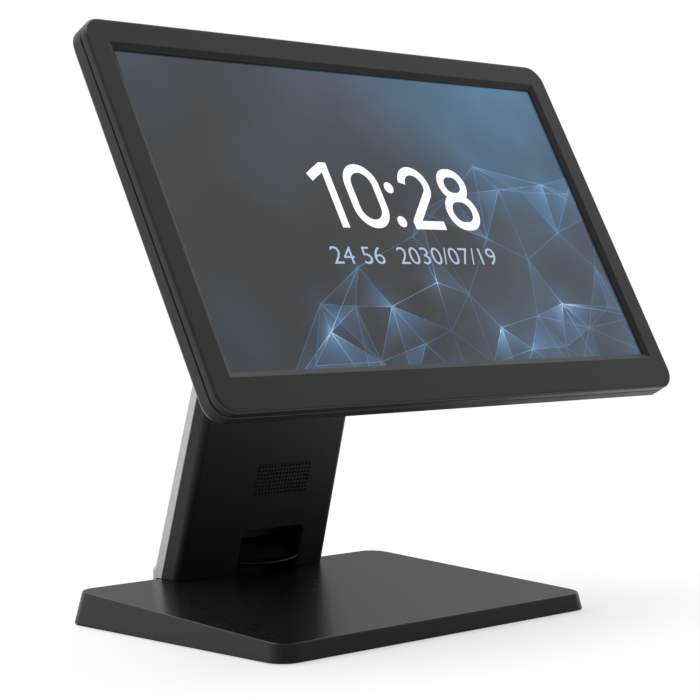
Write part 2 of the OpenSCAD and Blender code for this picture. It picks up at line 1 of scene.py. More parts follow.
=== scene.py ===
import bmesh
import bpy
import numpy as np
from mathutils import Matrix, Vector


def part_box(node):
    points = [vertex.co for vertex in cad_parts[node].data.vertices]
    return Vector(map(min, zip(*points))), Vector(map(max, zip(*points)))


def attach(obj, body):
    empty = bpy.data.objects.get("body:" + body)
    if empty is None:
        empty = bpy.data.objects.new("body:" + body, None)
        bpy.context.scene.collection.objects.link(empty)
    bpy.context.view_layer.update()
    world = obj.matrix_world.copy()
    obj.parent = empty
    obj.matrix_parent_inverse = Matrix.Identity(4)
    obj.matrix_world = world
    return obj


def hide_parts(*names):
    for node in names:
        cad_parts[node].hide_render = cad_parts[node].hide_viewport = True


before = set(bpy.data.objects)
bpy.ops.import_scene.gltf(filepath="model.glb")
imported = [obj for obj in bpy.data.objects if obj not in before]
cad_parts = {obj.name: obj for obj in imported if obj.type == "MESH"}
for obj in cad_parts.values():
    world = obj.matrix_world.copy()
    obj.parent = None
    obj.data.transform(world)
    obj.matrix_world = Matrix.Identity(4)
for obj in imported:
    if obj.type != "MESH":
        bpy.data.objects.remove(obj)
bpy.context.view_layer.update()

# ---- Camera, floor and light ----
# The terminal stands on a pale floor in a white studio that is brightest at its back, under one
# wide soft panel. The camera sees the backdrop and the far floor as plain white.
camera_place = (-0.8484, -0.8605, 0.2053)
camera_yaw = np.radians(45.055)
camera_pitch = np.radians(2.11)
camera_lens = 103.63

camera = bpy.data.objects.new("camera", bpy.data.cameras.new("camera"))
camera.location = camera_place
camera.rotation_euler = (np.pi / 2 - camera_pitch, 0, -camera_yaw)
camera.data.lens = camera_lens
camera.data.sensor_width = 36
camera.data.clip_start = 0.05
camera.data.clip_end = 60
bpy.context.scene.collection.objects.link(camera)
bpy.context.scene.camera = camera
bpy.context.scene.view_settings.view_transform = "Standard"


def add(tree, kind, **inputs):
    """A node with some of its sockets set; underscores in the names stand for spaces."""
    node = tree.nodes.new(kind)
    for label, value in inputs.items():
        node.inputs[label.replace("_", " ")].default_value = value
    return node


def wire(tree, source, target):
    """Joins an output socket to an input socket."""
    tree.links.new(source, target)


def sum_of(tree, operation, first, second):
    """A maths node on two sockets or numbers; its output socket."""
    node = tree.nodes.new("ShaderNodeMath")
    node.operation = operation
    for socket, value in zip(node.inputs, (first, second)):
        if isinstance(value, (int, float)):
            socket.default_value = value
        else:
            wire(tree, value, socket)
    return node.outputs["Value"]


def ranged(tree, value, low, high, to_low, to_high, smooth=False):
    """The value carried from one range to another, held at the ends. A smooth one eases in and out."""
    node = tree.nodes.new("ShaderNodeMapRange")
    if smooth:
        node.interpolation_type = "SMOOTHSTEP"
    for label, number in (("Value", value), ("From Min", low), ("From Max", high),
                          ("To Min", to_low), ("To Max", to_high)):
        if isinstance(number, (int, float)):
            node.inputs[label].default_value = number
        else:
            wire(tree, number, node.inputs[label])
    return node.outputs["Result"]


def agreement(tree, direction):
    """How well a ray's direction agrees with a given one: their dot product."""
    node = tree.nodes.new("ShaderNodeVectorMath")
    node.operation = "DOT_PRODUCT"
    node.inputs[1].default_value = direction
    wire(tree, tree.nodes.new("ShaderNodeTexCoord").outputs["Generated"], node.inputs[0])
    return node.outputs["Value"]


# The studio's light rises from its front to its back, and a dark flag stands low behind the base.
studio_back, flag_side = (0.15, 0.95, 0.25), (0.70, 0.71, 0.02)
studio_dark, studio_bright = 0.31, 0.96
flag_light = 0.2
world = bpy.data.worlds.new("studio")
bpy.context.scene.world = world
world.use_nodes = True
tree = world.node_tree
tree.nodes.clear()
level = ranged(tree, agreement(tree, studio_back), -0.6, 0.4, studio_dark, studio_bright)
flag = ranged(tree, agreement(tree, flag_side), 0.90, 0.985, 1.0, flag_light, smooth=True)
seen = tree.nodes.new("ShaderNodeMix")
seen.inputs["B"].default_value = 1.0
wire(tree, sum_of(tree, "MULTIPLY", level, flag), seen.inputs["A"])
wire(tree, tree.nodes.new("ShaderNodeLightPath").outputs["Is Camera Ray"], seen.inputs["Factor"])
backdrop = add(tree, "ShaderNodeBackground", Color=(1, 1, 1, 1))
wire(tree, seen.outputs["Result"], backdrop.inputs["Strength"])
wire(tree, backdrop.outputs["Background"], tree.nodes.new("ShaderNodeOutputWorld").inputs["Surface"])

panel_place, panel_size, panel_power = (-0.3, 0.5, 2.4), 2.2, 34
lamp = bpy.data.lights.new("overhead_panel", "AREA")
lamp.size = panel_size
lamp.energy = panel_power
panel = bpy.data.objects.new("overhead_panel", lamp)
panel.location = panel_place
panel.rotation_euler = (-Vector(panel_place)).to_track_quat("-Z", "Y").to_euler()
bpy.context.scene.collection.objects.link(panel)

# The floor's share of its own white light grows away from the terminal, so that only a soft
# shadow shows near it. What the terminal mirrors is a floor with painted shade close by: for all
# but camera rays its colour runs from dark near the terminal to pale further off, a painted
# shadow that the glossy faces reflect.
floor_reach = 14
# The floor's colour close to the terminal is dark as painted shade; further off it is pale.
painted_shade_albedo, far_albedo, seen_albedo = 0.2, 0.85, 0.95
near_share, floor_light = 0.55, 1.02
floor_mesh = bpy.data.meshes.new("floor")
floor_mesh.from_pydata([(-floor_reach, -floor_reach, 0), (floor_reach, -floor_reach, 0),
                        (floor_reach, floor_reach, 0), (-floor_reach, floor_reach, 0)],
                       [], [(0, 1, 2, 3)])
floor = bpy.data.objects.new("floor", floor_mesh)
bpy.context.scene.collection.objects.link(floor)
floor_painted_shade = bpy.data.materials.new("floor_painted_shade")
floor_painted_shade.use_nodes = True
tree = floor_painted_shade.node_tree
paint = tree.nodes["Principled BSDF"]
paint.inputs["Roughness"].default_value = 0.9
paint.inputs["Specular IOR Level"].default_value = 0.1
direct = tree.nodes.new("ShaderNodeLightPath").outputs["Is Camera Ray"]
distance = tree.nodes.new("ShaderNodeVectorMath")
distance.operation = "LENGTH"
wire(tree, tree.nodes.new("ShaderNodeTexCoord").outputs["Object"], distance.inputs[0])
pale = tree.nodes.new("ShaderNodeMix")
pale.inputs["B"].default_value = seen_albedo
# Painted shade: for all but camera rays, the floor's colour darkens towards the terminal.
wire(tree, ranged(tree, distance.outputs["Value"], 0.17, 0.38, painted_shade_albedo, far_albedo), pale.inputs["A"])
wire(tree, direct, pale.inputs["Factor"])
wire(tree, pale.outputs["Result"], paint.inputs["Base Color"])
share = ranged(tree, distance.outputs["Value"], 0.25, 0.8, near_share, 1.0)
white = add(tree, "ShaderNodeEmission", Strength=floor_light)
fading = tree.nodes.new("ShaderNodeMixShader")
wire(tree, sum_of(tree, "MULTIPLY", direct, share), fading.inputs["Fac"])
wire(tree, paint.outputs["BSDF"], fading.inputs[1])
wire(tree, white.outputs["Emission"], fading.inputs[2])
wire(tree, fading.outputs["Shader"], tree.nodes["Material Output"].inputs["Surface"])
floor_mesh.materials.append(floor_painted_shade)

# ---- Base plate, feet and screws ----
# A laser-cut steel plate gives the base its weight. Round rubber feet are stuck under it, and
# four screws hold the moulded cover from below.


def effect(name, **inputs):
    """An empty group with number inputs, a coordinate source and one number output."""
    group = bpy.data.node_groups.new(name, "ShaderNodeTree")
    for label, value in inputs.items():
        kind = "NodeSocketVector" if isinstance(value, tuple) else "NodeSocketFloat"
        socket = group.interface.new_socket(label.replace("_", " "), in_out="INPUT", socket_type=kind)
        socket.default_value = value
    group.interface.new_socket("Value", in_out="OUTPUT", socket_type="NodeSocketFloat")
    return (group, group.nodes.new("NodeGroupInput"), group.nodes.new("ShaderNodeTexCoord"),
            group.nodes.new("NodeGroupOutput"))


def noise(tree, coordinates, scale, detail=3.0, rough=0.55):
    """Noise texture at a scale per metre, given as a number or a socket; its value socket."""
    node = add(tree, "ShaderNodeTexNoise", Detail=detail, Roughness=rough)
    wire(tree, coordinates, node.inputs["Vector"])
    if isinstance(scale, (int, float)):
        node.inputs["Scale"].default_value = scale
    else:
        wire(tree, scale, node.inputs["Scale"])
    return node.outputs["Fac"]


# The finishes share a few effects, each in a group. Grain is noise for the skin etched into the
# mould, with cells for its rounded pits.
grain, given, place, result = effect("mould_grain", Scale=1500.0)
pits = grain.nodes.new("ShaderNodeTexVoronoi")
wire(grain, place.outputs["Object"], pits.inputs["Vector"])
wire(grain, sum_of(grain, "MULTIPLY", given.outputs["Scale"], 0.8), pits.inputs["Scale"])
skin = noise(grain, place.outputs["Object"], given.outputs["Scale"], 2.0, 0.6)
mixed = sum_of(grain, "ADD", sum_of(grain, "MULTIPLY", skin, 0.7),
               sum_of(grain, "MULTIPLY", pits.outputs["Distance"], 0.5))
wire(grain, mixed, result.inputs["Value"])

# Unevenness is slow noise carried to a range.
uneven, given, place, result = effect("unevenness", Scale=20.0, Low=0.0, High=1.0)
slow = noise(uneven, place.outputs["Object"], given.outputs["Scale"], 4.0, 0.6)
wire(uneven, ranged(uneven, slow, 0.32, 0.68, given.outputs["Low"], given.outputs["High"]),
     result.inputs["Value"])

# Streaks are noise on coordinates that are stretched along the direction of the tool.
streaks, given, place, result = effect("streaks", Stretch=(20.0, 900.0, 900.0))
drawn = streaks.nodes.new("ShaderNodeMapping")
wire(streaks, place.outputs["Object"], drawn.inputs["Vector"])
wire(streaks, given.outputs["Stretch"], drawn.inputs["Scale"])
wire(streaks, noise(streaks, drawn.outputs["Vector"], 1.0, 3.0, 0.65), result.inputs["Value"])

# Dust is fine specks and a film, only where the surface faces up.
dust, given, place, result = effect("dust", Amount=0.3)
facing = dust.nodes.new("ShaderNodeSeparateXYZ")
wire(dust, place.outputs["Normal"], facing.inputs["Vector"])
upward = ranged(dust, facing.outputs["Z"], 0.55, 0.98, 0.0, 1.0)
specks = ranged(dust, noise(dust, place.outputs["Object"], 700.0, 2.0, 0.5), 0.62, 0.75, 0.0, 1.0)
film = ranged(dust, noise(dust, place.outputs["Object"], 30.0, 5.0, 0.6), 0.35, 0.75, 0.0, 0.5)
lying = sum_of(dust, "MULTIPLY", upward, sum_of(dust, "ADD", specks, film))
wire(dust, sum_of(dust, "MULTIPLY", lying, given.outputs["Amount"]), result.inputs["Value"])

# Rubbed edges are the mesh's own edge mark, broken up by noise.
rubbed, given, place, result = effect("rubbed_edges", Amount=0.5)
marked = rubbed.nodes.new("ShaderNodeAttribute")
marked.attribute_name = "edge"
broken = ranged(rubbed, noise(rubbed, place.outputs["Object"], 160.0, 4.0, 0.6), 0.3, 0.7, 0.35, 1.0)
worn = sum_of(rubbed, "MULTIPLY", marked.outputs["Fac"], broken)
wire(rubbed, sum_of(rubbed, "MULTIPLY", worn, given.outputs["Amount"]), result.inputs["Value"])


def applied(tree, group, **inputs):
    """A group placed in a material with its own values; its output socket."""
    node = tree.nodes.new("ShaderNodeGroup")
    node.node_tree = group
    for label, value in inputs.items():
        node.inputs[label.replace("_", " ")].default_value = value
    return node.outputs["Value"]


def tinted(tree, share, first, second):
    """The first colour turned into the second by a share; either is a colour or a socket."""
    node = tree.nodes.new("ShaderNodeMix")
    node.data_type = "RGBA"
    wire(tree, share, node.inputs["Factor"])
    for socket, colour in ((node.inputs[6], first), (node.inputs[7], second)):
        if isinstance(colour, tuple):
            socket.default_value = (*colour, 1)
        else:
            wire(tree, colour, socket)
    return node.outputs[2]


def embossed(tree, height, depth):
    """A bump from a height; depth is its size in metres."""
    node = add(tree, "ShaderNodeBump", Strength=1.0, Distance=depth)
    wire(tree, height, node.inputs["Height"])
    return node.outputs["Normal"]


def shaded(name, specular=0.5, metallic=0.0):
    """A new material; its tree and its shader."""
    material = bpy.data.materials.new(name)
    material.use_nodes = True
    shader = material.node_tree.nodes["Principled BSDF"]
    shader.inputs["Specular IOR Level"].default_value = specular
    shader.inputs["Metallic"].default_value = metallic
    return material, material.node_tree, shader


# Mouldings are a little paler and glossier on rubbed edges, and dull and grey under dust.
edge_gain, edge_lift, edge_polish = 1.5, 0.004, 0.12
dust_grey, dust_dulling = (0.20, 0.19, 0.18), 0.4
patch_shade = 0.82


def moulded(name, colour, roughness, grain_scale=1500.0, grain_depth=0.00002, specular=0.5,
            streak=0.0, dusty=0.2, polish=0.5, patchy=0.035):
    """Moulded plastic or rubber: etched grain, slow changes of gloss, dust on top, rubbed edges.
    A streak share adds fine sideways lines, and patchy is how far the gloss strays."""
    material, tree, shader = shaded(name, specular)
    lying = applied(tree, dust, Amount=dusty)
    edges = applied(tree, rubbed, Amount=polish)
    light = tuple(min(1.0, edge_gain * c + edge_lift) for c in colour)
    dark = tuple(patch_shade * c for c in colour)
    tone = tinted(tree, applied(tree, uneven, Scale=14.0), dark, colour)
    tone = tinted(tree, edges, tone, light)
    wire(tree, tinted(tree, lying, tone, dust_grey), shader.inputs["Base Color"])
    gloss = applied(tree, uneven, Scale=35.0, Low=roughness - patchy, High=roughness + patchy)
    gloss = sum_of(tree, "SUBTRACT", gloss, sum_of(tree, "MULTIPLY", edges, edge_polish))
    gloss = sum_of(tree, "ADD", gloss, sum_of(tree, "MULTIPLY", lying, dust_dulling))
    height = applied(tree, grain, Scale=grain_scale)
    if streak:
        lines = applied(tree, streaks, Stretch=(30.0, 1500.0, 1500.0))
        gloss = sum_of(tree, "ADD", gloss, sum_of(tree, "MULTIPLY", lines, streak))
        height = sum_of(tree, "ADD", height, sum_of(tree, "MULTIPLY", lines, 4 * streak))
    wire(tree, gloss, shader.inputs["Roughness"])
    wire(tree, embossed(tree, height, grain_depth), shader.inputs["Normal"])
    return material


def machined(name, colour, roughness, stretch=(30.0, 1200.0, 1200.0), depth=0.000006, stain=0.15):
    """Metal: drawn or brushed lines in its gloss and height, faint stains in its colour."""
    material, tree, shader = shaded(name, metallic=1.0)
    lines = applied(tree, streaks, Stretch=stretch)
    deep = tuple(c * (1 - stain) for c in colour)
    wire(tree, tinted(tree, applied(tree, uneven, Scale=45.0), colour, deep),
         shader.inputs["Base Color"])
    gloss = ranged(tree, lines, 0.3, 0.7, roughness - 0.06, roughness + 0.06)
    edges = applied(tree, rubbed, Amount=0.15)
    wire(tree, sum_of(tree, "SUBTRACT", gloss, edges), shader.inputs["Roughness"])
    wire(tree, embossed(tree, lines, depth), shader.inputs["Normal"])
    return material


def shown(name, mesh, material, body, slot, *nodes, angle=32):
    """The object for a mesh: smooth up to an angle with flat faces kept flat, riding on a body,
    with a material as its finish, in place of CAD nodes. The slot is not used."""
    obj = bpy.data.objects.new(name, mesh)
    bpy.context.scene.collection.objects.link(obj)
    mesh.materials.clear()
    mesh.materials.append(material)
    mesh.polygons.foreach_set("use_smooth", np.ones(len(mesh.polygons), bool))
    mesh.set_sharp_from_angle(angle=np.radians(angle))
    even = obj.modifiers.new("flat_faces", "WEIGHTED_NORMAL")
    even.keep_sharp = True
    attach(obj, body)
    if nodes:
        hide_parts(*nodes)
    return obj


def softened(name, node, width, material, slot, body, segments=2):
    """A CAD node's shape with its triangles joined and its sharp edges rounded by a bevel."""
    work = bmesh.new()
    work.from_mesh(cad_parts[node].data)
    bmesh.ops.remove_doubles(work, verts=work.verts, dist=2e-6)
    bmesh.ops.dissolve_limit(work, angle_limit=np.radians(1), verts=work.verts, edges=work.edges)
    mesh = bpy.data.meshes.new(name)
    work.to_mesh(mesh)
    work.free()
    obj = shown(name, mesh, material, body, slot, node, angle=35)
    bevel = obj.modifiers.new("soft_edges", "BEVEL")
    bevel.width = width
    bevel.segments = segments
    bevel.limit_method = "ANGLE"
    bevel.angle_limit = np.radians(40)
    bevel.harden_normals = False
    obj.modifiers.move(1, 0)
    return obj


plate_steel = machined("plate_steel", (0.42, 0.42, 0.43), 0.42, (14.0, 500.0, 500.0), 0.00001, 0.25)
foot_rubber = moulded("foot_rubber", (0.016, 0.016, 0.016), 0.78, 2200.0, 0.00003, 0.3, dusty=0.1)
screw_steel = machined("screw_steel", (0.30, 0.30, 0.31), 0.34, (500.0, 500.0, 60.0))
plate_soft, foot_soft, screw_soft = 0.0005, 0.0006, 0.0003
softened("base_weight", "base_plate", plate_soft, plate_steel, "plate_steel", "stand")
softened("rubber_feet", "base_feet", foot_soft, foot_rubber, "foot_rubber", "stand", 3)
softened("cover_screws", "base_screws", screw_soft, screw_steel, "screw_steel", "stand")

# ---- Base cover ----
# One black moulding, a low wedge with sloping walls and a flat satin top that rises to the back.
# It snaps over the plate and hides it down to a thin shadow gap above the counter.
base_w, base_d, base_r = 0.26, 0.186, 0.012
base_front_z, base_back_z = 0.0108, 0.0203
base_draft = np.radians(9)
skirt_z = 0.0005
cover_wall = 0.0022
base_slope = np.arctan((base_back_z - base_front_z) / base_d)
top_edge, top_rim = 0.0011, 0.002
skirt_edge, skirt_rise = 0.0005, 0.04


def outline(w, h, r, mid=(0.0, 0.0), turn=8, side=2):
    """Closed loop round a rectangle: each corner is an arc of turn steps, with its angle running
    a quarter circle, and each side is split evenly in side steps."""
    angle = np.pi / 2 * (np.arange(4)[:, None] + np.arange(turn + 1) / turn)
    corner = np.array([(1, 1), (-1, 1), (-1, -1), (1, -1)]) * (w / 2 - r, h / 2 - r)
    arcs = corner[:, None] + r * np.stack([np.cos(angle), np.sin(angle)], -1)
    share = (np.arange(1, side) / side)[None, :, None]
    sides = arcs[:, -1:] * (1 - share) + np.roll(arcs, -1, 0)[:, :1] * share
    return np.concatenate([arcs, sides], 1).reshape(-1, 2) + mid


def quarter(radius, steps=4):
    """A quarter of a circle from upright to level: how far each point is drawn in, and how far
    it has dropped."""
    angle = np.linspace(0, np.pi / 2, steps + 1)
    return radius * (1 - np.sin(angle)), radius * (1 - np.cos(angle))


def strip(rows, edge=None, loop=True, ends=(False, False)):
    """Quads between neighbouring rows of points. A loop joins each row's last point to its first,
    ends close the first and last row with a face, and edge marks each row's wear from 0 to 1."""
    rows = np.asarray(rows, float)
    count, across = rows.shape[:2]
    index = np.arange(count * across).reshape(count, across)
    if loop:
        index = np.concatenate([index, index[:, :1]], 1)
    quads = np.stack([index[:-1, :-1], index[:-1, 1:], index[1:, 1:], index[1:, :-1]], -1)
    faces = quads.reshape(-1, 4).tolist()
    if ends[0]:
        faces.append(index[0, :across][::-1].tolist())
    if ends[1]:
        faces.append(index[-1, :across].tolist())
    mark = np.zeros(count) if edge is None else np.asarray(edge, float)
    return rows.reshape(-1, 3), faces, np.repeat(mark, across)


def mesh_of(name, patches, closed=True):
    """One mesh from several patches, welded; a closed one has its faces turned outwards."""
    starts = np.cumsum([0] + [len(p[0]) for p in patches])
    mesh = bpy.data.meshes.new(name)
    mesh.from_pydata(np.concatenate([p[0] for p in patches]).tolist(), [],
                     [[i + start for i in face] for start, p in zip(starts, patches) for face in p[1]])
    mark = mesh.attributes.new("edge", "FLOAT", "POINT")
    mark.data.foreach_set("value", np.concatenate([p[2] for p in patches]).astype(np.float32))
    work = bmesh.new()
    work.from_mesh(mesh)
    bmesh.ops.remove_doubles(work, verts=work.verts, dist=1e-6)
    if closed:
        bmesh.ops.recalc_face_normals(work, faces=work.faces)
    work.to_mesh(mesh)
    work.free()
    return mesh


def base_top(y):
    """Height of the base's sloping top over a place front to back."""
    return base_front_z + (y + base_d / 2) * np.tan(base_slope)


def base_ring(inset, share, drop=0.0):
    """Loop round the base at a share of the way from its skirt to its top, less a drop. Its walls
    lean in evenly with height, and an inset draws it in further."""
    flat = outline(base_w, base_d, base_r, turn=12)
    lean_in = share * base_top(flat[:, 1]) * np.tan(base_draft) + inset
    flat = flat - flat / (base_w / 2, base_d / 2) * lean_in[:, None]
    top = base_top(flat[:, 1]) - drop
    return np.column_stack([flat, skirt_z + share * (top - skirt_z)])


base_black = moulded("base_black", (0.0046, 0.0046, 0.0048), 0.27, 1700.0, 0.0000006, 0.45,
                     dusty=0.0, patchy=0.008)
drawn, dropped = quarter(top_edge, 5)
rows = [base_ring(cover_wall, 0), base_ring(skirt_edge, 0), base_ring(0, skirt_rise)]
marks = [0, 0.4, 0.8]
for inset, drop in zip(drawn[::-1], dropped[::-1]):
    rows.append(base_ring(inset, 1, drop))
    marks.append(1.0)
rows.append(base_ring(top_edge + top_rim, 1))
inner = [base_ring(cover_wall, 0), base_ring(cover_wall, 1, cover_wall)]
base_mesh = mesh_of("base_shell", [strip(rows, marks + [0], ends=(False, True)),
                                   strip(inner, ends=(False, True))])
shown("base_shell", base_mesh, base_black, "stand", "base_black", "base_cover")

# ---- Inside of the neck ----
# A folded steel core is bolted to the plate and carries the hinge. Beside it sit the speaker's
# frame and cone and the cloth that keeps dust out of them.


def refinish(node, material):
    """A CAD node keeps its shape and takes a material."""
    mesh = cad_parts[node].data
    mesh.materials.clear()
    mesh.materials.append(material)


chassis_steel = machined("chassis_steel", (0.55, 0.55, 0.56), 0.38, (40.0, 700.0, 700.0))
speaker_plastic = moulded("speaker_plastic", (0.02, 0.02, 0.021), 0.5)
cone_rubber = moulded("cone_rubber", (0.03, 0.03, 0.03), 0.7, 2600.0)
cloth, tree, shader = shaded("speaker_cloth", 0.2)
weave = applied(tree, streaks, Stretch=(2400.0, 200.0, 200.0))
cross = applied(tree, streaks, Stretch=(200.0, 200.0, 2400.0))
threads = sum_of(tree, "MAXIMUM", weave, cross)
thread_black, thread_grey = (0.004, 0.004, 0.004), (0.022, 0.022, 0.023)
wire(tree, tinted(tree, threads, thread_black, thread_grey), shader.inputs["Base Color"])
wire(tree, ranged(tree, threads, 0.3, 0.7, 0.95, 0.8), shader.inputs["Roughness"])
wire(tree, embossed(tree, threads, 0.00012), shader.inputs["Normal"])
refinish("neck_core", chassis_steel)
refinish("core_bolts", screw_steel)
refinish("speaker_frame", speaker_plastic)
refinish("speaker_cone", cone_rubber)
refinish("acoustic_mesh", cloth)

# ---- Neck, rear shell ----
# A silver cover wraps the back and sides of the leaning neck and ends in an apron behind the
# base. It is die cast, blasted and anodised, with a grommet in its cable exit.
lean = np.radians(14.6)
neck_w0, neck_w1 = 0.124, 0.118
neck_d0, neck_d1 = 0.023, 0.0164
neck_len = 0.206
neck_wall = 0.0022
neck_r_front, neck_r_back = 0.0045, 0.0026
part_v0, part_v1 = 0.014, 0.0103
seam, seam_soft = 0.00015, 0.0003
side_x = 0.0118
grille_w, grille_h, grille_w_mid, grille_t = 0.0444, 0.02, 0.061, 0.0014
grille_low, grille_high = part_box("speaker_grille")
grille_mid = (grille_low + grille_high) / 2
neck_y = grille_mid.y - grille_t / 2 * np.cos(lean) + grille_w_mid * np.sin(lean)
neck_z = grille_mid.z - grille_t / 2 * np.sin(lean) - grille_w_mid * np.cos(lean)


def in_neck(x, v, w):
    """Points from the neck's own frame: x across, v into the neck, w along its lean."""
    x, v, w = np.broadcast_arrays(x, v, w)
    return np.stack([x, neck_y + v * np.cos(lean) - w * np.sin(lean),
                     neck_z + v * np.sin(lean) + w * np.cos(lean)], -1)


def foot_w(v, gap=0.0002):
    """How far along the lean the base's top lies at a depth into the neck, from the plane of the
    top and the line of the neck."""
    rise = base_top(neck_y + v * np.cos(lean)) + gap - neck_z - v * np.sin(lean)
    return rise / (np.cos(lean) + np.sin(lean) * np.tan(base_slope))


def taper(start, end, w):
    """A size that changes evenly along the neck."""
    return start + (end - start) * w / neck_len


def shell_rows(section, turns=10):
    """The neck's section as loops at even steps, from one that lies along the base's top to one
    at the neck's end. At a place along the neck, the section gives how far across and how deep
    each of its points is."""
    loops = []
    for share in np.linspace(0, 1, turns):
        x, v = section(share * neck_len)
        w = foot_w(v) * (1 - share) + neck_len * share
        loops.append(in_neck(x, v, w))
    return loops


def rear_section(w):
    """Closed loop of the rear shell: down one side from the parting line, round the rear corner,
    across the back, and the same again inside by the wall."""
    half, depth = taper(neck_w0, neck_w1, w) / 2, taper(neck_d0, neck_d1, w)
    part = taper(part_v0, part_v1, w)
    angle = np.linspace(0, np.pi / 2, 7)

    def side(inset):
        r = neck_r_back - 0.6 * inset
        x = half - inset - r + r * np.cos(angle)
        v = depth - inset - r + r * np.sin(angle)
        start = part + seam
        soft = 0 if inset else seam_soft
        return (np.append([half - inset - soft, half - inset], x),
                np.append([start, start + seam_soft], v))

    (x, v), (xi, vi) = side(0.0), side(neck_wall)
    return (np.concatenate([x, -x[::-1], -xi, xi[::-1]]), np.concatenate([v, v[::-1], vi, vi[::-1]]))


def cut(mesh, cutters):
    """The mesh less its closed cutters, which are patches."""
    pair = [bpy.data.objects.new(mesh.name, mesh),
            bpy.data.objects.new("cutter", mesh_of("cutter", cutters))]
    for obj in pair:
        bpy.context.scene.collection.objects.link(obj)
    drill = pair[0].modifiers.new("drill", "BOOLEAN")
    drill.object = pair[1]
    drill.solver = "EXACT"
    drill.use_self = True
    seen_by = bpy.context.evaluated_depsgraph_get()
    left = bpy.data.meshes.new_from_object(pair[0].evaluated_get(seen_by))
    for obj in pair:
        bpy.data.objects.remove(obj)
    return left


def chamfered(inner, face, soft):
    """Levels of a cutter that comes out through a face, as (growth, depth): straight from an inner
    depth, then wider by 45 degrees from soft inside the face to a millimetre outside it."""
    out = np.sign(face - inner)
    return [(0, inner), (0, face - out * soft), (soft + 0.001, face + out * 0.001)]


def tube(mid_x, mid_w, loop, levels):
    """Closed cutter in the neck: a loop grown by an offset at each depth, as (offset, depth)."""
    rows = [in_neck(mid_x + loop(offset)[:, 0], depth, mid_w + loop(offset)[:, 1])
            for offset, depth in levels]
    return strip(rows, ends=(True, True))


exit_w, exit_half, exit_r = 0.035, 0.014, 0.006
exit_soft, hole_soft = 0.0005, 0.0003
screw_w, screw_x, screw_pull, screw_hole = (0.034, 0.1, 0.166), 0.0556, 0.002, 0.006
rear_shell = mesh_of("neck_back", [strip(shell_rows(rear_section), ends=(True, True))])
exit_depth = taper(neck_d0, neck_d1, exit_w)
cuts = [tube(0, exit_w,
             lambda g: outline(2 * (exit_half + exit_r + g), 2 * (exit_r + g), exit_r + g - 1e-5),
             chamfered(0.012, exit_depth, exit_soft))]
for w in screw_w:
    depth = taper(neck_d0, neck_d1, w)
    for x in (-1, 1):
        cuts.append(tube(x * (screw_x - screw_pull * w / neck_len), w,
                         lambda g: outline(screw_hole + 2 * g, screw_hole + 2 * g,
                                           screw_hole / 2 + g - 1e-5, side=1),
                         chamfered(depth - 0.004, depth, hole_soft)))
rear_shell = cut(rear_shell, cuts)
apron_y, apron_t, apron_low, apron_top = base_d / 2 + 0.0004, 0.0034, 0.003, 0.0272
apron_w, apron_r, apron_soft = neck_w0 - 0.002, 0.003, 0.0007
drawn, dropped = quarter(apron_soft, 3)


def apron_ring(inset, y):
    """Loop of the apron's plate, drawn in by an inset at a place front to back."""
    flat = outline(apron_w - 2 * inset, apron_top - apron_low - 2 * inset, apron_r - inset)
    return np.column_stack([flat[:, 0], np.full(len(flat), y), flat[:, 1] + (apron_top + apron_low) / 2])


rows = [apron_ring(0, apron_y)]
rows += [apron_ring(i, apron_y + apron_t - d) for i, d in zip(drawn[::-1], dropped[::-1])]
apron = mesh_of("apron", [strip(rows, [0, 1, 1, 1, 1], ends=(True, True))])
work = bmesh.new()
work.from_mesh(rear_shell)
work.from_mesh(apron)
work.to_mesh(rear_shell)
work.free()
bpy.data.meshes.remove(apron)

neck_silver, tree, shader = shaded("neck_silver", metallic=1.0)
blasted = applied(tree, grain, Scale=2600.0)
wire(tree, tinted(tree, applied(tree, uneven, Scale=9.0), (0.57, 0.575, 0.58), (0.52, 0.525, 0.53)),
     shader.inputs["Base Color"])
wire(tree, applied(tree, uneven, Scale=60.0, Low=0.40, High=0.48), shader.inputs["Roughness"])
wire(tree, embossed(tree, blasted, 0.000018), shader.inputs["Normal"])
shown("neck_back", rear_shell, neck_silver, "stand", "neck_silver", "neck_rear_shell")
soft_black = moulded("soft_black", (0.014, 0.014, 0.0145), 0.62, 2000.0, 0.00002, 0.35)
softened("exit_grommet", "cable_grommet", screw_soft, soft_black, "foot_rubber", "stand")
softened("shell_screws", "neck_screws", screw_soft, screw_steel, "screw_steel", "stand")

# ---- Neck, front shell ----
# The black front of the neck is a second moulding that closes against the silver one on a fine
# seam. It has the opening for cables at its foot and a window for the speaker grille.
mouth_w, mouth_h, mouth_r, mouth_sunk = 0.0516, 0.028, 0.0045, 0.012
mouth_edge, mouth_through = 0.0011, 0.004
window_r = 0.0004


def front_section(w):
    """Closed loop of the front shell: from the parting line down the side, round the front
    corner and across the face, and the same again inside by the wall."""
    half, part = taper(neck_w0, neck_w1, w) / 2, taper(part_v0, part_v1, w)
    angle = np.linspace(0, np.pi / 2, 10)

    def side(inset):
        r = neck_r_front - inset
        x = half - neck_r_front + r * np.cos(angle)
        v = neck_r_front - r * np.sin(angle)
        end = part - seam
        soft = 0 if inset else seam_soft
        return (np.append([half - inset - soft, half - inset], x),
                np.append([end, end - seam_soft], v))

    (x, v), (xi, vi) = side(0.0), side(neck_wall)
    return (np.concatenate([x, -x[::-1], -xi, xi[::-1]]), np.concatenate([v, v[::-1], vi, vi[::-1]]))


def mouth_loop(grow):
    """Outline of the cable opening, whose lower end runs down below the base's top."""
    return outline(mouth_w + 2 * grow, mouth_h + mouth_sunk + 2 * grow, mouth_r + grow)


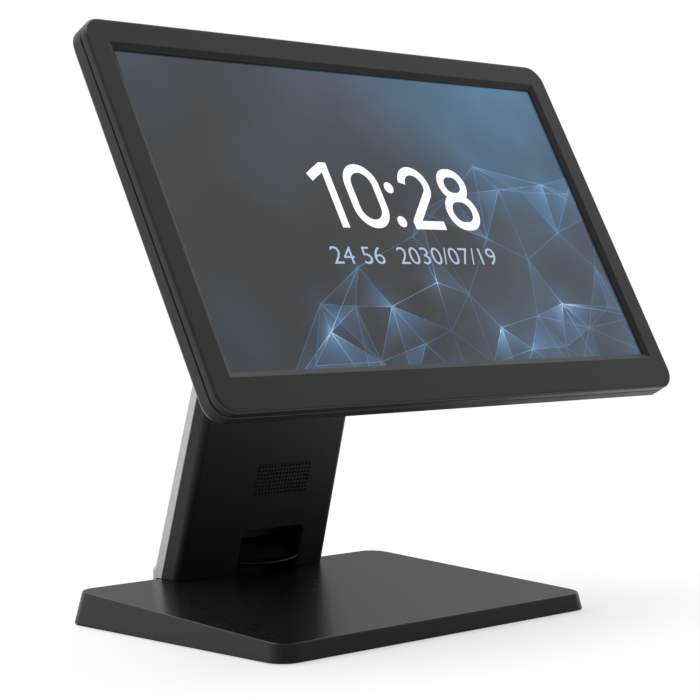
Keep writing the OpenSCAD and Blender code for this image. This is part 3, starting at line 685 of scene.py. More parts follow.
mouth_mid = (mouth_h - mouth_sunk) / 2
levels = [(0, mouth_through)]
for angle in np.linspace(0, np.pi / 2, 5):
    levels.append((mouth_edge * (1 - np.cos(angle)), mouth_edge * (1 - np.sin(angle))))
levels.append((mouth_edge, -0.003))
front_shell = mesh_of("neck_face", [strip(shell_rows(front_section), ends=(True, True))])
front_shell = cut(front_shell, [
    tube(side_x, mouth_mid, mouth_loop, levels),
    tube(side_x, grille_w_mid,
         lambda g: outline(grille_w + 2 * g, grille_h + 2 * g, window_r + g),
         chamfered(mouth_through, 0, hole_soft))])
neck_black = moulded("neck_black", (0.0040, 0.0040, 0.0042), 0.40, 1700.0, 0.000012, 0.38,
                     streak=0.05, dusty=0.05)
shown("neck_face", front_shell, neck_black, "stand", "neck_black", "neck_front_shell")
softened("neck_lid", "neck_top_cap", 0.0004, neck_black, "neck_black", "stand")

# ---- Speaker grille ----
# A thin moulded plate with rows of small round holes lies flush in the neck's window. Each hole
# has its own cell of the plate, from a rectangle's edge in to a ring, then back through the plate.
grille_columns, grille_rows = 17, 8
grille_gap = 0.0001
pore_r, pore_soft, pore_steps = 0.00078, 0.00015, 16
cell_x = (grille_w - 2 * grille_gap) / grille_columns
cell_w = (grille_h - 2 * grille_gap) / grille_rows
turn = 2 * np.pi * np.arange(pore_steps) / pore_steps
ray = np.stack([np.cos(turn), np.sin(turn)], -1)
border = ray / np.abs(ray).max(-1, keepdims=True) * (cell_x / 2, cell_w / 2)
rings = [(border, 0.0), (ray * (pore_r + pore_soft), 0.0), (ray * pore_r, pore_soft),
         (ray * pore_r, grille_t)]
patches = []
for column in range(grille_columns):
    for row in range(grille_rows):
        x = side_x + (column - (grille_columns - 1) / 2) * cell_x
        w = grille_w_mid + (row - (grille_rows - 1) / 2) * cell_w
        patches.append(strip([in_neck(x + ring[:, 0], v, w + ring[:, 1]) for ring, v in rings][::-1]))
frame_loop = outline(grille_w - 2 * grille_gap, grille_h - 2 * grille_gap, 1e-5, turn=1, side=1)
patches.append(strip([in_neck(side_x + frame_loop[:, 0], v, grille_w_mid + frame_loop[:, 1])
                      for v in (0.0, grille_t)]))
grille_black = moulded("grille_black", (0.009, 0.009, 0.0095), 0.45, 1800.0, 0.00001, 0.4, dusty=0.0)
shown("grille_plate", mesh_of("grille_plate", patches, closed=False), grille_black, "stand",
      "grille_black", "speaker_grille")

# ---- Cable guide ----
# A moulded pocket behind the opening. Over its floor a smooth ramp comes forward to a bowed lip a
# little above the base, so that cables bend gently on their way out.
guide_wall = 0.0015
guide_back = 0.0176
guide_fit = 0.0003
lip_w, lip_out, lip_round = 0.007, 0.006, 0.0005
ramp_rise = 0.009
ramp_half = mouth_w / 2 - 0.0004
ramp_end = guide_back - 0.0005


def mouth_rows(levels):
    """Loops of the opening's outline, as (growth, depth)."""
    return [in_neck(side_x + mouth_loop(grow)[:, 0], v, mouth_mid + mouth_loop(grow)[:, 1])
            for grow, v in levels]


guide_front = neck_wall + 0.0002
pocket = strip(mouth_rows([(guide_wall - guide_fit, guide_back), (guide_wall - guide_fit, guide_front),
                           (0.0002 - guide_fit, guide_front), (-guide_fit, guide_front + 0.0002),
                           (-guide_fit, guide_back - guide_wall)]), ends=(True, True))
bow_r = (ramp_half ** 2 + lip_out ** 2) / (2 * lip_out)
across = np.linspace(-ramp_half, ramp_half, 33)
lip_v = bow_r - lip_out - np.sqrt(bow_r ** 2 - across ** 2)
angle = np.linspace(-np.pi / 2, np.pi / 2, 9)
climb = np.linspace(0, 1, 17)[1:]
columns = []
for x, front in zip(across, lip_v):
    nose_v = front + lip_round * (1 - np.cos(angle))
    nose_w = lip_w + lip_round * (1 + np.sin(angle))
    ramp_v = front + lip_round + (ramp_end - front - lip_round) * climb
    ramp_w = lip_w + 2 * lip_round + ramp_rise * climb ** 2 * (3 - 2 * climb)
    v = np.concatenate([[ramp_end], nose_v, ramp_v])
    w = np.concatenate([[lip_w], nose_w, ramp_w])
    columns.append(in_neck(side_x + x, v, np.maximum(w, foot_w(v, 0.0003))))
ramp = strip(columns, ends=(True, True))
guide_black = moulded("guide_black", (0.005, 0.005, 0.0052), 0.3, 1600.0, 0.00001, 0.5, dusty=0.0)
shown("cable_pocket", mesh_of("cable_pocket", [pocket, ramp]), guide_black, "stand", "guide_black",
      "cable_guide", angle=40)

# ---- Hinge ----
# A painted steel barrel on the neck's core turns on a ground shaft, clamped by nuts between
# bronze washers so that friction holds the head. Two moulded cheeks hide the ears and nuts.
barrel_paint = moulded("barrel_paint", (0.03, 0.03, 0.031), 0.38, 2400.0, 0.00002)
washer_bronze = machined("washer_bronze", (0.55, 0.42, 0.22), 0.3)
shaft_steel = machined("shaft_steel", (0.62, 0.62, 0.63), 0.2, (900.0, 30.0, 30.0))
bracket_steel = machined("bracket_steel", (0.20, 0.20, 0.21), 0.42, (30.0, 900.0, 900.0))
cheek_black = moulded("cheek_black", (0.012, 0.012, 0.0125), 0.45)
steel_soft, washer_soft, cheek_soft = 0.0005, 0.0002, 0.0010
softened("barrel", "hinge_barrel", steel_soft, barrel_paint, "barrel_painted", "stand")
softened("washers", "friction_washers", washer_soft, washer_bronze, "washer_bronze", "stand")
softened("shaft", "hinge_shaft", steel_soft, shaft_steel, "shaft_steel", "head")
softened("shaft_nuts", "hinge_nuts", steel_soft, screw_steel, "screw_steel", "head")
softened("bracket", "hinge_bracket", steel_soft, bracket_steel, "bracket_steel", "head")
softened("bracket_bolts", "bracket_screws", 0.0004, screw_steel, "screw_steel", "head")
softened("hinge_cheeks", "hinge_cover", cheek_soft, cheek_black, "housing_black", "head", 3)

# ---- Inside of the head ----
# Steel frame, main board with its chips, heat sink and storage card, the touch and button
# boards, the ribbon to the panel, and the sandwich of backlight, liquid-crystal cell and gasket.
tilt = np.radians(28.8)
glass_t = 0.0018
glass_low, glass_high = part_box("touch_glass")
glass_mid = (glass_low + glass_high) / 2
screen_y = glass_mid.y - glass_t / 2 * np.cos(tilt)
screen_z = glass_mid.z + glass_t / 2 * np.sin(tilt)


def in_head(u, w, n):
    """Points from the head's own frame: u across, w up the screen, n out of the glass."""
    u, w, n = np.broadcast_arrays(u, w, n)
    return np.stack([u, screen_y + w * np.sin(tilt) - n * np.cos(tilt),
                     screen_z + w * np.cos(tilt) + n * np.sin(tilt)], -1)


def board(name, mask):
    """Circuit board: solder mask over a maze of copper tracks, which show as raised paths."""
    material, tree, shader = shaded(name)
    maze = tree.nodes.new("ShaderNodeTexVoronoi")
    maze.distance = "CHEBYCHEV"
    maze.inputs["Scale"].default_value = 420
    wire(tree, tree.nodes.new("ShaderNodeTexCoord").outputs["Object"], maze.inputs["Vector"])
    tracks = ranged(tree, maze.outputs["Distance"], 0.42, 0.5, 0.0, 1.0)
    light = tuple(1.9 * c for c in mask)
    wire(tree, tinted(tree, tracks, mask, light), shader.inputs["Base Color"])
    wire(tree, applied(tree, uneven, Scale=80.0, Low=0.28, High=0.38), shader.inputs["Roughness"])
    wire(tree, embossed(tree, tracks, 0.00004), shader.inputs["Normal"])
    return material


refinish("middle_frame", chassis_steel)
refinish("main_board", board("board_green", (0.008, 0.07, 0.03)))
refinish("button_board", bpy.data.materials["board_green"])
refinish("touch_board", board("board_blue", (0.01, 0.04, 0.10)))
refinish("storage_module", bpy.data.materials["board_blue"])
refinish("main_chips", moulded("chip_black", (0.018, 0.018, 0.019), 0.55, 2800.0))
refinish("heat_sink", machined("heat_sink_aluminium", (0.60, 0.60, 0.61), 0.36, (900.0, 20.0, 900.0)))
refinish("panel_ribbon", moulded("ribbon_amber", (0.42, 0.20, 0.045), 0.35, 1200.0, 0.00001))
refinish("backlight_unit", moulded("panel_white", (0.72, 0.72, 0.70), 0.45, dusty=0.0))
refinish("lcd_cell", moulded("panel_black", (0.012, 0.012, 0.016), 0.22, dusty=0.0))
refinish("display_gasket", moulded("foam_black", (0.015, 0.015, 0.015), 0.9, 900.0, 0.0001, 0.2))

# ---- Bezel ----
# A black moulded frame with a broad flat face, a soft rim and a sloped lip down to the glass.
# Ten screws from behind hold it against the rear housing.
head_w, head_h, head_r = 0.379, 0.236, 0.0125
head_c = -0.0028
active_w, active_h = 0.3442, 0.1936
bezel_lip, bezel_back = 0.003, -0.0019
head_wall = 0.0024
rim_round, back_soft = 0.0016, 0.0003
lip_soft, lip_r = 0.0038, 0.0018


def head_ring(w, h, r, mid_w, n, turn=14):
    """Loop round the head's middle at a height over the glass."""
    flat = outline(w, h, r, (0.0, mid_w), turn=turn, side=6)
    return in_head(flat[:, 0], flat[:, 1], n)


def rim_ring(inset, n):
    """Loop parallel to the head's outline."""
    return head_ring(head_w - 2 * inset, head_h - 2 * inset, head_r - inset, head_c, n)


rows, marks = [], []
for grow, n in ((0, 0), (0.06, 0.41), (0.13, 0.48), (0.88, 0.94), (0.95, 0.985), (1, 1)):
    grow = grow * lip_soft
    rows.append(head_ring(active_w + 2 * grow, active_h + 2 * grow, 0.0004 + 0.2 * grow, 0, n * bezel_lip))
    marks.append(0.0)
lip_end = 2 * lip_soft + 0.001
rows.append(head_ring(active_w + lip_end, active_h + lip_end, lip_r, 0, bezel_lip))
rows.append(rim_ring(rim_round + 0.001, bezel_lip))
marks += [0.0, 0.0]
for inset, drop in zip(*quarter(rim_round, 7)):
    rows.append(rim_ring(inset, bezel_lip - drop))
    marks.append(1.0)
for inset, n in ((0, bezel_back + back_soft), (back_soft, bezel_back),
                 (head_wall, bezel_back), (head_wall, 0)):
    rows.append(rim_ring(inset, n))
    marks.append(0.3)
rows.append(rows[0])
marks.append(0.0)
bezel_black = moulded("bezel_black", (0.0068, 0.0068, 0.007), 0.36, 1700.0, 0.000010, 0.5,
                      dusty=0.05, polish=0.4)
shown("bezel", mesh_of("bezel", [strip(rows, marks)]), bezel_black, "head", "bezel_black", "front_bezel")
softened("rim_screws", "bezel_screws", washer_soft, screw_steel, "screw_steel", "head")

# ---- Rear housing ----
# The back of the head is one black moulding: a thin edge strip behind the bezel's groove, a
# shallow dish, and a raised block over the electronics with vents, screw wells and a socket bay.
strip_front, rim_back, shell_back = -0.0026, -0.0096, -0.014
shell_in = 0.0044
bulge_w, bulge_h, bulge_r, bulge_c = 0.262, 0.156, 0.016, 0.004
bulge_side, bulge_back, bulge_in = -0.028, -0.038, 0.012
root_round, knee, knee_half = 0.003, 0.0035, 0.0028


def bulge_ring(inset, n):
    """Loop parallel to the raised block's outline."""
    return head_ring(bulge_w - 2 * inset, bulge_h - 2 * inset, max(bulge_r - 0.5 * inset, 0.002), bulge_c, n)


def housing_rows(wall):
    """Rows of the housing from its front edge to its back, drawn in by a wall: the edge strip, the
    dish, the round root of the raised block, its upright side, and the slope up to its flat back."""
    rows = [rim_ring(inset + wall, n) for inset, n in (
        (0.0007, strip_front + 0.0001), (0.0003, strip_front - 0.0001), (0, strip_front - 0.0004),
        (0, rim_back + 0.0006), (0.00025, rim_back), (shell_in - 0.0008, shell_back + 0.0005 + wall),
        (shell_in, shell_back + wall), (shell_in + 0.002, shell_back + wall))]
    rows.append(bulge_ring(-root_round + wall - 0.002, shell_back + wall))
    marks = [0.3, 0.6, 0.8, 0.8, 1.0, 0.7, 0.4, 0.0, 0.0]
    for angle in np.linspace(0, np.pi / 2, 5):
        rows.append(bulge_ring(wall - root_round * (1 - np.sin(angle)),
                               shell_back + wall - root_round * (1 - np.cos(angle))))
        marks.append(0.0)
    slope = np.arctan2(bulge_in, bulge_side - bulge_back)
    for share in (-1.0, -0.4, 0.3, 1.0):
        bend = 0.5 * (1 + share)
        rows.append(bulge_ring(wall + knee * bend ** 2 * np.sin(slope), bulge_side - knee_half * share))
        marks.append(0.5)
    for inset, rise in ((-0.0028, 0.0021), (-0.0012, 0.0008), (0.0004, 0.0001), (0.0024, 0)):
        rows.append(bulge_ring(wall + bulge_in + inset, bulge_back + rise + wall))
    return rows, marks + [0.7, 1.0, 0.6, 0.0]


outer, outer_marks = housing_rows(0.0)
inner, inner_marks = housing_rows(head_wall)
housing = mesh_of("back_housing", [strip(outer, outer_marks, ends=(False, True)),
                                   strip(inner, inner_marks, ends=(False, True)),
                                   strip([outer[0], inner[0]])])


def head_tube(place, loop, levels, axis="n"):
    """Closed cutter in the head: a loop grown by an offset at each depth. The loop lies across
    the named axis of the head's frame, round a place (u, w, n)."""
    rows = []
    for offset, depth in levels:
        flat = loop(offset)
        if axis == "n":
            rows.append(in_head(place[0] + flat[:, 0], place[1] + flat[:, 1], depth))
        elif axis == "w":
            rows.append(in_head(place[0] + flat[:, 0], depth, place[2] + flat[:, 1]))
        else:
            rows.append(in_head(depth, place[1] + flat[:, 0], place[2] + flat[:, 1]))
    return strip(rows, ends=(True, True))


def pill(length, width):
    """Outline with fully round ends, as a function of its growth."""
    end = min(length, width) / 2 - 1e-5
    return lambda g: outline(length + 2 * g, width + 2 * g, end + g, turn=6, side=1)


vents, vent_pitch, vent_w = 16, 0.012, 0.004
vent_back_l, vent_back_up, vent_top_l, vent_top_n = 0.02, 0.05, 0.009, -0.0215
board_back = -0.0158
socket_sizes = ((-0.078, 0.009, 0.0108), (-0.058, 0.016, 0.0115), (-0.036, 0.0132, 0.006),
                (-0.019, 0.0132, 0.006), (0.006, 0.015, 0.0054), (0.026, 0.009, 0.0036),
                (0.044, 0.0132, 0.006), (0.062, 0.0132, 0.006))
socket_r, socket_gap_w, socket_gap_h, socket_sunk = 0.0006, 0.0012, 0.0016, 0.0006
posts, post_c, post_hole = 0.0375, 0.014, 0.0046
boss_x, boss_w, boss_u, boss_edge, boss_hole, boss_depth = 0.1836, 0.078, 0.096, 0.0059, 0.005, 0.0014
button_w_place, button_n, button_gap = 0.03, -0.0071, 0.0005
button_l, button_wide = 0.014, 0.0034
wall_cut, edge_soft = 0.006, 0.0004
block_top, block_foot = bulge_c + bulge_h / 2, bulge_c - bulge_h / 2

cuts = []
for i in range(vents):
    u = (i - (vents - 1) / 2) * vent_pitch
    cuts.append(head_tube((u, bulge_c + vent_back_up, 0), pill(vent_w, vent_back_l),
                          chamfered(bulge_back + wall_cut, bulge_back, exit_soft)))
    cuts.append(head_tube((u, 0, vent_top_n), pill(vent_w, vent_top_l),
                          chamfered(block_top - wall_cut, block_top, edge_soft), "w"))
for u, wide, tall in socket_sizes:
    cuts.append(head_tube((u, 0, board_back - (tall + socket_sunk) / 2),
                          lambda g, a=wide + socket_gap_w, b=tall + socket_gap_h: outline(
                              a + 2 * g, b + 2 * g, socket_r + g, turn=3, side=1),
                          chamfered(block_foot + wall_cut, block_foot, edge_soft), "w"))
for x in (-1, 1):
    for y in (-1, 1):
        cuts.append(head_tube((x * posts, post_c + y * posts, 0), pill(post_hole, post_hole + 1e-5),
                              [(0, bulge_back + wall_cut), (0, bulge_back - 0.001)]))
bosses = [(x * boss_x, head_c + y * boss_w) for x in (-1, 1) for y in (-1, 0, 1)]
bosses += [(x * boss_u, head_c + y * (head_h / 2 - boss_edge)) for x in (-1, 1) for y in (-1, 1)]
for u, w in bosses:
    cuts.append(head_tube((u, w, 0), pill(boss_hole, boss_hole + 1e-5),
                          chamfered(shell_back + boss_depth, shell_back, hole_soft)))
cuts.append(head_tube((0, button_w_place, button_n), pill(button_l + button_gap, button_wide + button_gap),
                      chamfered(head_w / 2 - 0.01, head_w / 2, hole_soft), "u"))
housing_black = moulded("housing_black", (0.0072, 0.0072, 0.0074), 0.44, 1300.0, 0.00003, 0.5,
                        dusty=0.08, polish=0.3)
shown("back_housing", cut(housing, cuts), housing_black, "head", "housing_black", "rear_housing")

# ---- Power button and sockets ----
# The button is a small oval key with a domed face in the right edge. Plated sockets stand on the
# edge of the main board behind their openings.
button_black = moulded("button_black", (0.02, 0.02, 0.02), 0.28, 2400.0, 0.000008)
softened("power_key", "power_button", steel_soft, button_black, "button_black", "power_button", 3)
socket_metal = machined("socket_metal", (0.58, 0.57, 0.54), 0.28, (60.0, 800.0, 60.0))
softened("sockets", "socket_row", washer_soft, socket_metal, "socket_metal", "head")

# ---- Touch glass and its picture ----
# Strengthened glass is bonded over the panel. It shows a dark slate picture with a net of thin
# lit threads, a few stars and a clock, and its gloss carries faint smears from fingers.
# The slate: soft glows of blue over dark grey, each as (place, reach, colour) in shares of the
# picture's width, under a slow cloud.
picture = bpy.data.node_groups.new("slate_picture", "ShaderNodeTree")
picture.interface.new_socket("Color", in_out="OUTPUT", socket_type="NodeSocketColor")
result = picture.nodes.new("NodeGroupOutput")
local = picture.nodes.new("ShaderNodeMapping")
local.vector_type = "TEXTURE"
local.inputs["Location"].default_value = (0, screen_y, screen_z)
local.inputs["Rotation"].default_value = (np.pi / 2 - tilt, 0, 0)
local.inputs["Scale"].default_value = (active_w, active_w, active_w)
wire(picture, picture.nodes.new("ShaderNodeTexCoord").outputs["Object"], local.inputs["Vector"])
slate = (0.030, 0.030, 0.031)
glows = (((0.36, 0.30), 0.44, (0.028, 0.128, 0.240)), ((-0.05, 0.34), 0.36, (0.016, 0.040, 0.075)),
         ((-0.52, 0.30), 0.22, (0.008, 0.028, 0.052)), ((-0.27, 0.08), 0.12, (0.007, 0.014, 0.022)),
         ((0.46, -0.12), 0.34, (0.010, 0.026, 0.050)), ((0.20, -0.26), 0.26, (0.018, 0.040, 0.065)),
         ((-0.46, -0.22), 0.14, (0.004, 0.014, 0.024)))
flat = picture.nodes.new("ShaderNodeVectorMath")
flat.operation = "MULTIPLY"
flat.inputs[1].default_value = (1, 1, 0)
wire(picture, local.outputs["Vector"], flat.inputs[0])
colour = slate
for place, reach, tint in glows:
    away = picture.nodes.new("ShaderNodeVectorMath")
    away.operation = "DISTANCE"
    wire(picture, flat.outputs["Vector"], away.inputs[0])
    away.inputs[1].default_value = (*place, 0)
    near = ranged(picture, away.outputs["Value"], 0.0, reach, 1.0, 0.0, smooth=True)
    colour = tinted(picture, near, colour, tint)
    colour.node.blend_type = "ADD"
clouded = ranged(picture, noise(picture, local.outputs["Vector"], 5.0, 4.0, 0.5), 0.3, 0.75, 0.82, 1.2)
veil = picture.nodes.new("ShaderNodeVectorMath")
veil.operation = "SCALE"
wire(picture, colour, veil.inputs[0])
wire(picture, clouded, veil.inputs["Scale"])
wire(picture, veil.outputs["Vector"], result.inputs["Color"])

lit_picture, tree, shader = shaded("lit_picture", 0.5)
wallpaper = tree.nodes.new("ShaderNodeGroup")
wallpaper.node_tree = picture
glow = tree.nodes.new("ShaderNodeAttribute")
glow.attribute_name = "glow"
heat = tree.nodes.new("ShaderNodeValToRGB")
stops = heat.color_ramp.elements
stops[0].color = (0, 0, 0, 1)
stops[1].color = (1, 1, 1, 1)
for position, tint in ((0.25, (0.035, 0.095, 0.19)), (0.55, (0.15, 0.30, 0.50)), (0.8, (0.50, 0.62, 0.75))):
    stops.new(position).color = (*tint, 1)
wire(tree, glow.outputs["Fac"], heat.inputs["Fac"])
both = tree.nodes.new("ShaderNodeMix")
both.data_type = "RGBA"
both.blend_type = "ADD"
both.inputs["Factor"].default_value = 1
wire(tree, wallpaper.outputs["Color"], both.inputs[6])
wire(tree, heat.outputs["Color"], both.inputs[7])
wire(tree, both.outputs[2], shader.inputs["Emission Color"])
shader.inputs["Emission Strength"].default_value = 1
shader.inputs["Base Color"].default_value = (0.002, 0.002, 0.002, 1)
wire(tree, applied(tree, uneven, Scale=24.0, Low=0.10, High=0.17), shader.inputs["Roughness"])

# The net: bright hubs in millimetres from the middle, as (across, up, light), with seeded fainter
# points between them. Each is joined to its nearest neighbours.
hubs = np.array([(10, -45, 1.0), (115, -60, 1.0), (50, -75, 0.7), (145, 25, 0.7), (-90, -75, 0.8),
                 (-35, -60, 0.7), (70, -15, 0.5), (140, -10, 0.4), (100, 20, 0.5), (85, 36, 0.5),
                 (-90, -58, 0.3), (-50, -35, 0.4), (70, -90, 0.7), (-20, -84, 0.4), (20, 2, 0.3),
                 (163, -35, 0.3), (-140, -112, 0.3), (-75, -114, 0.3), (5, -112, 0.3), (100, -113, 0.3),
                 (186, -70, 0.3), (184, 5, 0.3)])
net_left, net_right, net_foot, net_top, net_rise = -0.115, 0.185, -0.115, 0.036, 0.48
point_gap, longest_thread, widest_fan = 0.0215, 0.078, 0.042
spark_light, spark_reach, halo_light, halo_reach, fan_light = 0.16, 0.0022, 0.10, 0.012, 0.42
dice = np.random.default_rng(2713)
spots = dice.uniform((net_left + 0.003, net_foot), (net_right, net_top), (120, 2))
ceiling = np.minimum(-0.058 + net_rise * (spots[:, 0] - net_left), net_top)
spots = spots[spots[:, 1] < ceiling]
kept = list(hubs[:, :2] / 1000)
for spot in spots:
    if min(np.hypot(*(spot - other)) for other in kept) > point_gap:
        kept.append(spot)
spots = np.array(kept)
far_between = np.hypot(*(spots[:, None] - spots[None]).transpose(2, 0, 1))
nearest = np.argsort(far_between, 1)[:, 1:6]
threads = sorted({tuple(sorted((i, int(j)))) for i, row in enumerate(nearest) for j in row
                  if far_between[i, j] < longest_thread})
bright = np.concatenate([hubs[:, 2], dice.uniform(0.05, 0.35, len(spots) - len(hubs))])
fans = [(i, int(a), int(b)) for i, row in enumerate(nearest) for a in row for b in row
        if a < b and dice.uniform() < 0.5 and far_between[a, b] < widest_fan]


def haze(u, w):
    """Soft light at a place on the picture: a spark and a wider halo round each point, both falling
    off as bell curves, and fans that fade from a point towards the far side of a triangle."""
    u, w = np.asarray(u, float), np.asarray(w, float)
    light = np.zeros(u.shape)
    for (x, y), power in zip(spots, bright):
        away = (u - x) ** 2 + (w - y) ** 2
        light += power * (spark_light * np.exp(-away / spark_reach ** 2)
                          + halo_light * np.exp(-away / halo_reach ** 2))
    for i, a, b in fans:
        (x0, y0), (x1, y1), (x2, y2) = spots[i], spots[a], spots[b]
        area = (x1 - x0) * (y2 - y0) - (x2 - x0) * (y1 - y0)
        s = ((u - x0) * (y2 - y0) - (x2 - x0) * (w - y0)) / area
        t = ((x1 - x0) * (w - y0) - (u - x0) * (y1 - y0)) / area
        inside = (s > 0) & (t > 0) & (s + t < 1)
        light += np.where(inside, fan_light * bright[i] * np.clip(1 - s - t, 0, 1) ** 1.3, 0)
    return light


face_columns, face_rows, face_gap = 260, 148, 0.0001
u, w = np.meshgrid(np.linspace(-1, 1, face_columns) * (active_w / 2 - face_gap),
                   np.linspace(-1, 1, face_rows) * (active_h / 2 - face_gap))
stars = dice.uniform((-0.168, -0.092), (0.168, 0.092), (46, 2))
face = strip(in_head(u, w, 0.0)[::-1], loop=False)


def with_glow(mesh, values):
    """Stores how brightly each point of the picture is lit."""
    mark = mesh.attributes.new("glow", "FLOAT", "POINT")
    mark.data.foreach_set("value", np.asarray(values, np.float32).ravel())


def flat_mesh(name, points, faces, values):
    """A mesh of the picture with its light, its faces as given."""
    mesh = bpy.data.meshes.new(name)
    mesh.from_pydata(np.asarray(points).reshape(-1, 3).tolist(), [], faces)
    with_glow(mesh, values)
    return mesh


glass_w, glass_h, glass_r, glass_soft = active_w + 0.0118, active_h + 0.0114, 0.003, 0.0003
border_loops = [
    head_ring(active_w - 2 * face_gap, active_h - 2 * face_gap, 1e-6, 0, 0.0, 1),
    head_ring(glass_w - 2 * glass_soft, glass_h - 2 * glass_soft, glass_r - glass_soft, 0, 0.0, 1),
    head_ring(glass_w, glass_h, glass_r, 0, -glass_soft, 1),
    head_ring(glass_w, glass_h, glass_r, 0, -glass_t, 1)]
border_patch = strip(border_loops, ends=(False, True))
glass_mesh = flat_mesh("lit_glass", face[0], face[1], haze(u, w)[::-1])
shown("lit_glass", glass_mesh, lit_picture, "head", "display_glass", "touch_glass", angle=60)
glass_black = moulded("glass_black", (0.003, 0.003, 0.0035), 0.12, 900.0, 0.000002, 0.5, dusty=0.0)
shown("glass_edge", mesh_of("glass_edge", [border_patch], closed=False), glass_black, "head",
      "display_glass")

# Threads and stars lie a hair above the glass and take its haze along their borders. A thread is
# a strip of three lines, brightest in the middle, and keeps only its part on the picture.
thread_half, thread_lift, thread_steps = 0.00034, 0.00002, 9
thread_light, thread_gain = 0.14, 0.62
picture_half = np.array([active_w / 2, active_h / 2]) - 0.0006
points, faces, values = [], [], []
for i, j in threads:
    across = spots[j] - spots[i]
    normal = np.array([-across[1], across[0]]) / np.hypot(*across) * thread_half
    shares = np.linspace(0, 1, 201)
    shares = shares[(np.abs(spots[i] + across * shares[:, None]) < picture_half).all(1)]
    if len(shares) < thread_steps:
        continue
    steps = np.linspace(shares[0], shares[-1], thread_steps)[:, None]
    line = spots[i] + across * steps
    for side, peak in ((-1, 0), (0, 1), (1, 0)):
        at = line + side * normal
        points.append(in_head(at[:, 0], at[:, 1], thread_lift))
        ends_light = bright[i] * (1 - steps[:, 0]) ** 2 + bright[j] * steps[:, 0] ** 2
        fade = thread_light + thread_gain * ends_light
        values.append(haze(at[:, 0], at[:, 1]) + peak * fade)
    start = (len(points) - 3) * thread_steps
    for first in (start, start + thread_steps):
        faces += [(first + k, first + k + 1, first + k + 1 + thread_steps, first + k + thread_steps)
                  for k in range(thread_steps - 1)]
thread_mesh = flat_mesh("net_threads", points, faces, np.concatenate(values))
shown("net_threads", thread_mesh, lit_picture, "head", "display_glass", angle=60)

# Points of the net and stars are small discs, as (place, radius, light).
points, faces, values = [], [], []
dot_sides, dot_margin = 8, 0.0015
ring_turn = 2 * np.pi * np.arange(dot_sides) / dot_sides
dots = [(spot, 0.0006 + 0.0005 * power, 0.25 + 0.6 * power) for spot, power in zip(spots, bright)]
dots += [(spot, 0.00045, 0.30 * dice.uniform(0.3, 1.0)) for spot in stars]
for (x, y), reach, peak in dots:
    if abs(y) > active_h / 2 - dot_margin or abs(x) > active_w / 2 - dot_margin:
        continue
    start = len(points)
    rim = np.column_stack([x + reach * np.cos(ring_turn), y + reach * np.sin(ring_turn)])
    ring_points = np.vstack([[x, y], rim])
    points += list(in_head(ring_points[:, 0], ring_points[:, 1], 2 * thread_lift))
    light = haze(ring_points[:, 0], ring_points[:, 1])
    light[0] += peak
    values.append(light)
    faces += [(start, start + 1 + k, start + 1 + (k + 1) % dot_sides) for k in range(dot_sides)]
shown("net_points", flat_mesh("net_points", points, faces, np.concatenate(values)), lit_picture, "head",
      "display_glass", angle=60)


def figures(name, text, left, right, low, high, weight, light):
    """Plain numerals, made bolder or finer by a weight, stretched to fill a box on the picture."""
    curve = bpy.data.curves.new(name, "FONT")
    curve.body = text
    curve.offset = weight
    curve.resolution_u = 6
    letters = bpy.data.objects.new(name, curve)
    bpy.context.scene.collection.objects.link(letters)
    seen_by = bpy.context.evaluated_depsgraph_get()
    mesh = bpy.data.meshes.new_from_object(letters.evaluated_get(seen_by))
    bpy.data.objects.remove(letters)
    flat = np.zeros(len(mesh.vertices) * 3)
    mesh.vertices.foreach_get("co", flat)
    flat = flat.reshape(-1, 3)[:, :2]
    flat = (flat - flat.min(0)) / np.ptp(flat, 0)
    at = in_head(left + flat[:, 0] * (right - left), low + flat[:, 1] * (high - low), 3 * thread_lift)
    mesh.vertices.foreach_set("co", at.ravel())
    mesh.update()
    with_glow(mesh, np.full(len(flat), light))
    mesh.name = name
    return shown(name, mesh, lit_picture, "head", "display_glass", angle=60)


# The clock's numerals are ribbons of even width along lines, arcs and round-cornered loops: 1, 0,
# two dots, 2 and 8, each round its own middle.
stroke, clock_low, clock_high = 0.0057, -0.0096, 0.0330


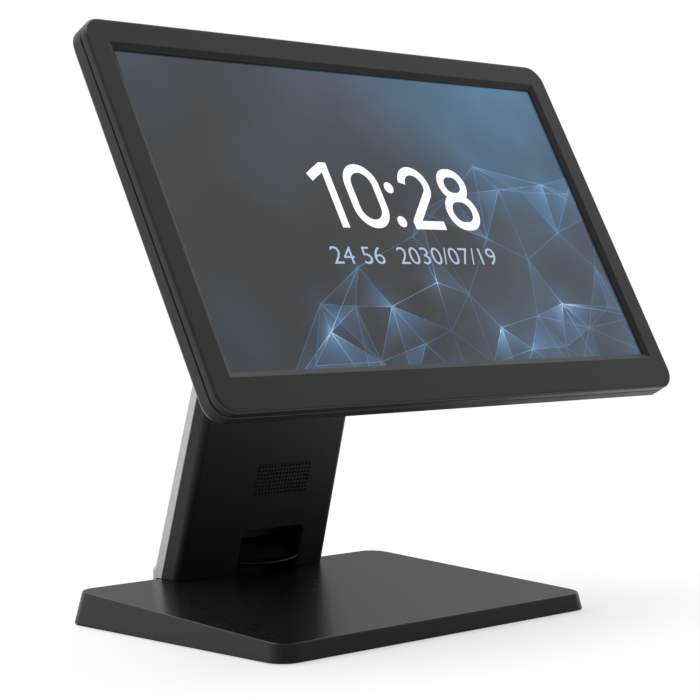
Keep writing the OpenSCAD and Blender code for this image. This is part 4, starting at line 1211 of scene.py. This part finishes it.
def ribbon(path, closed=False):
    """Band of even width along a path: each point is moved both ways along the normal there, which
    is the mean direction of its neighbours turned a quarter."""
    path = np.asarray(path, float)
    ahead = np.roll(path, -1, 0) - np.roll(path, 1, 0)
    if not closed:
        ahead[0], ahead[-1] = path[1] - path[0], path[-1] - path[-2]
    normal = np.stack([-ahead[:, 1], ahead[:, 0]], -1) / np.hypot(*ahead.T)[:, None] * stroke / 2
    if closed:
        path, normal = np.vstack([path, path[:1]]), np.vstack([normal, normal[:1]])
    flat = np.stack([path - normal, path + normal], 1)
    return strip(in_head(flat[..., 0], flat[..., 1], 3 * thread_lift), loop=False)


def arc(mid, radius, start, end):
    """Points of a circle between two angles in degrees."""
    turn = np.radians(np.linspace(start, end, 19))
    return np.array(mid) + radius * np.stack([np.cos(turn), np.sin(turn)], -1)


low, high = clock_low + stroke / 2, clock_high - stroke / 2
curl = 0.0102
one_x, naught_x, dot_x, two_x, eight_x = -0.0465, -0.0205, 0.0012, 0.0240, 0.0580
naught_w, upper_w, lower_w, dot_w = 0.0225, 0.0190, 0.0222, 0.0074
upper, lower = 0.0166, 0.0196
flag_turn, flag_length = np.radians(31), 0.0150
flag_end = (one_x - stroke / 2 * (1 - np.sin(flag_turn)), clock_high - stroke / 2 * np.cos(flag_turn))
flag_start = (flag_end[0] - flag_length * np.cos(flag_turn), flag_end[1] - flag_length * np.sin(flag_turn))
bands = [ribbon([(one_x, clock_low), (one_x, clock_high)]),
         ribbon([flag_start, flag_end]),
         ribbon(outline(naught_w, high - low, 0.0112, (naught_x, (low + high) / 2), side=3), True),
         ribbon(np.vstack([arc((two_x, high - curl), curl, 172, -28),
                           [(two_x - curl - 0.0002, low + 0.0014)]])),
         ribbon([(two_x - curl - stroke / 2, low), (two_x + curl + stroke * 0.55, low)]),
         ribbon(outline(upper_w, upper, 0.0082, (eight_x, high - upper / 2)), True),
         ribbon(outline(lower_w, lower, 0.0097, (eight_x, low + lower / 2)), True)]
for w in (-0.0048, 0.0180):
    disc = outline(dot_w, dot_w, dot_w / 2 - 0.0001, (dot_x, w), turn=6, side=1)
    bands.append(strip([in_head(disc[:, 0], disc[:, 1], 3 * thread_lift),
                        in_head(dot_x + 0 * disc[:, 0], w, 3 * thread_lift)]))
clock = mesh_of("clock_figures", bands, closed=False)
with_glow(clock, np.full(len(clock.vertices), 1.0))
shown("clock_figures", clock, lit_picture, "head", "display_glass", angle=60)
figures("date_figures", "24 56  2030/07/19", -0.067, 0.071, -0.0330, -0.0218, -0.006, 0.70)
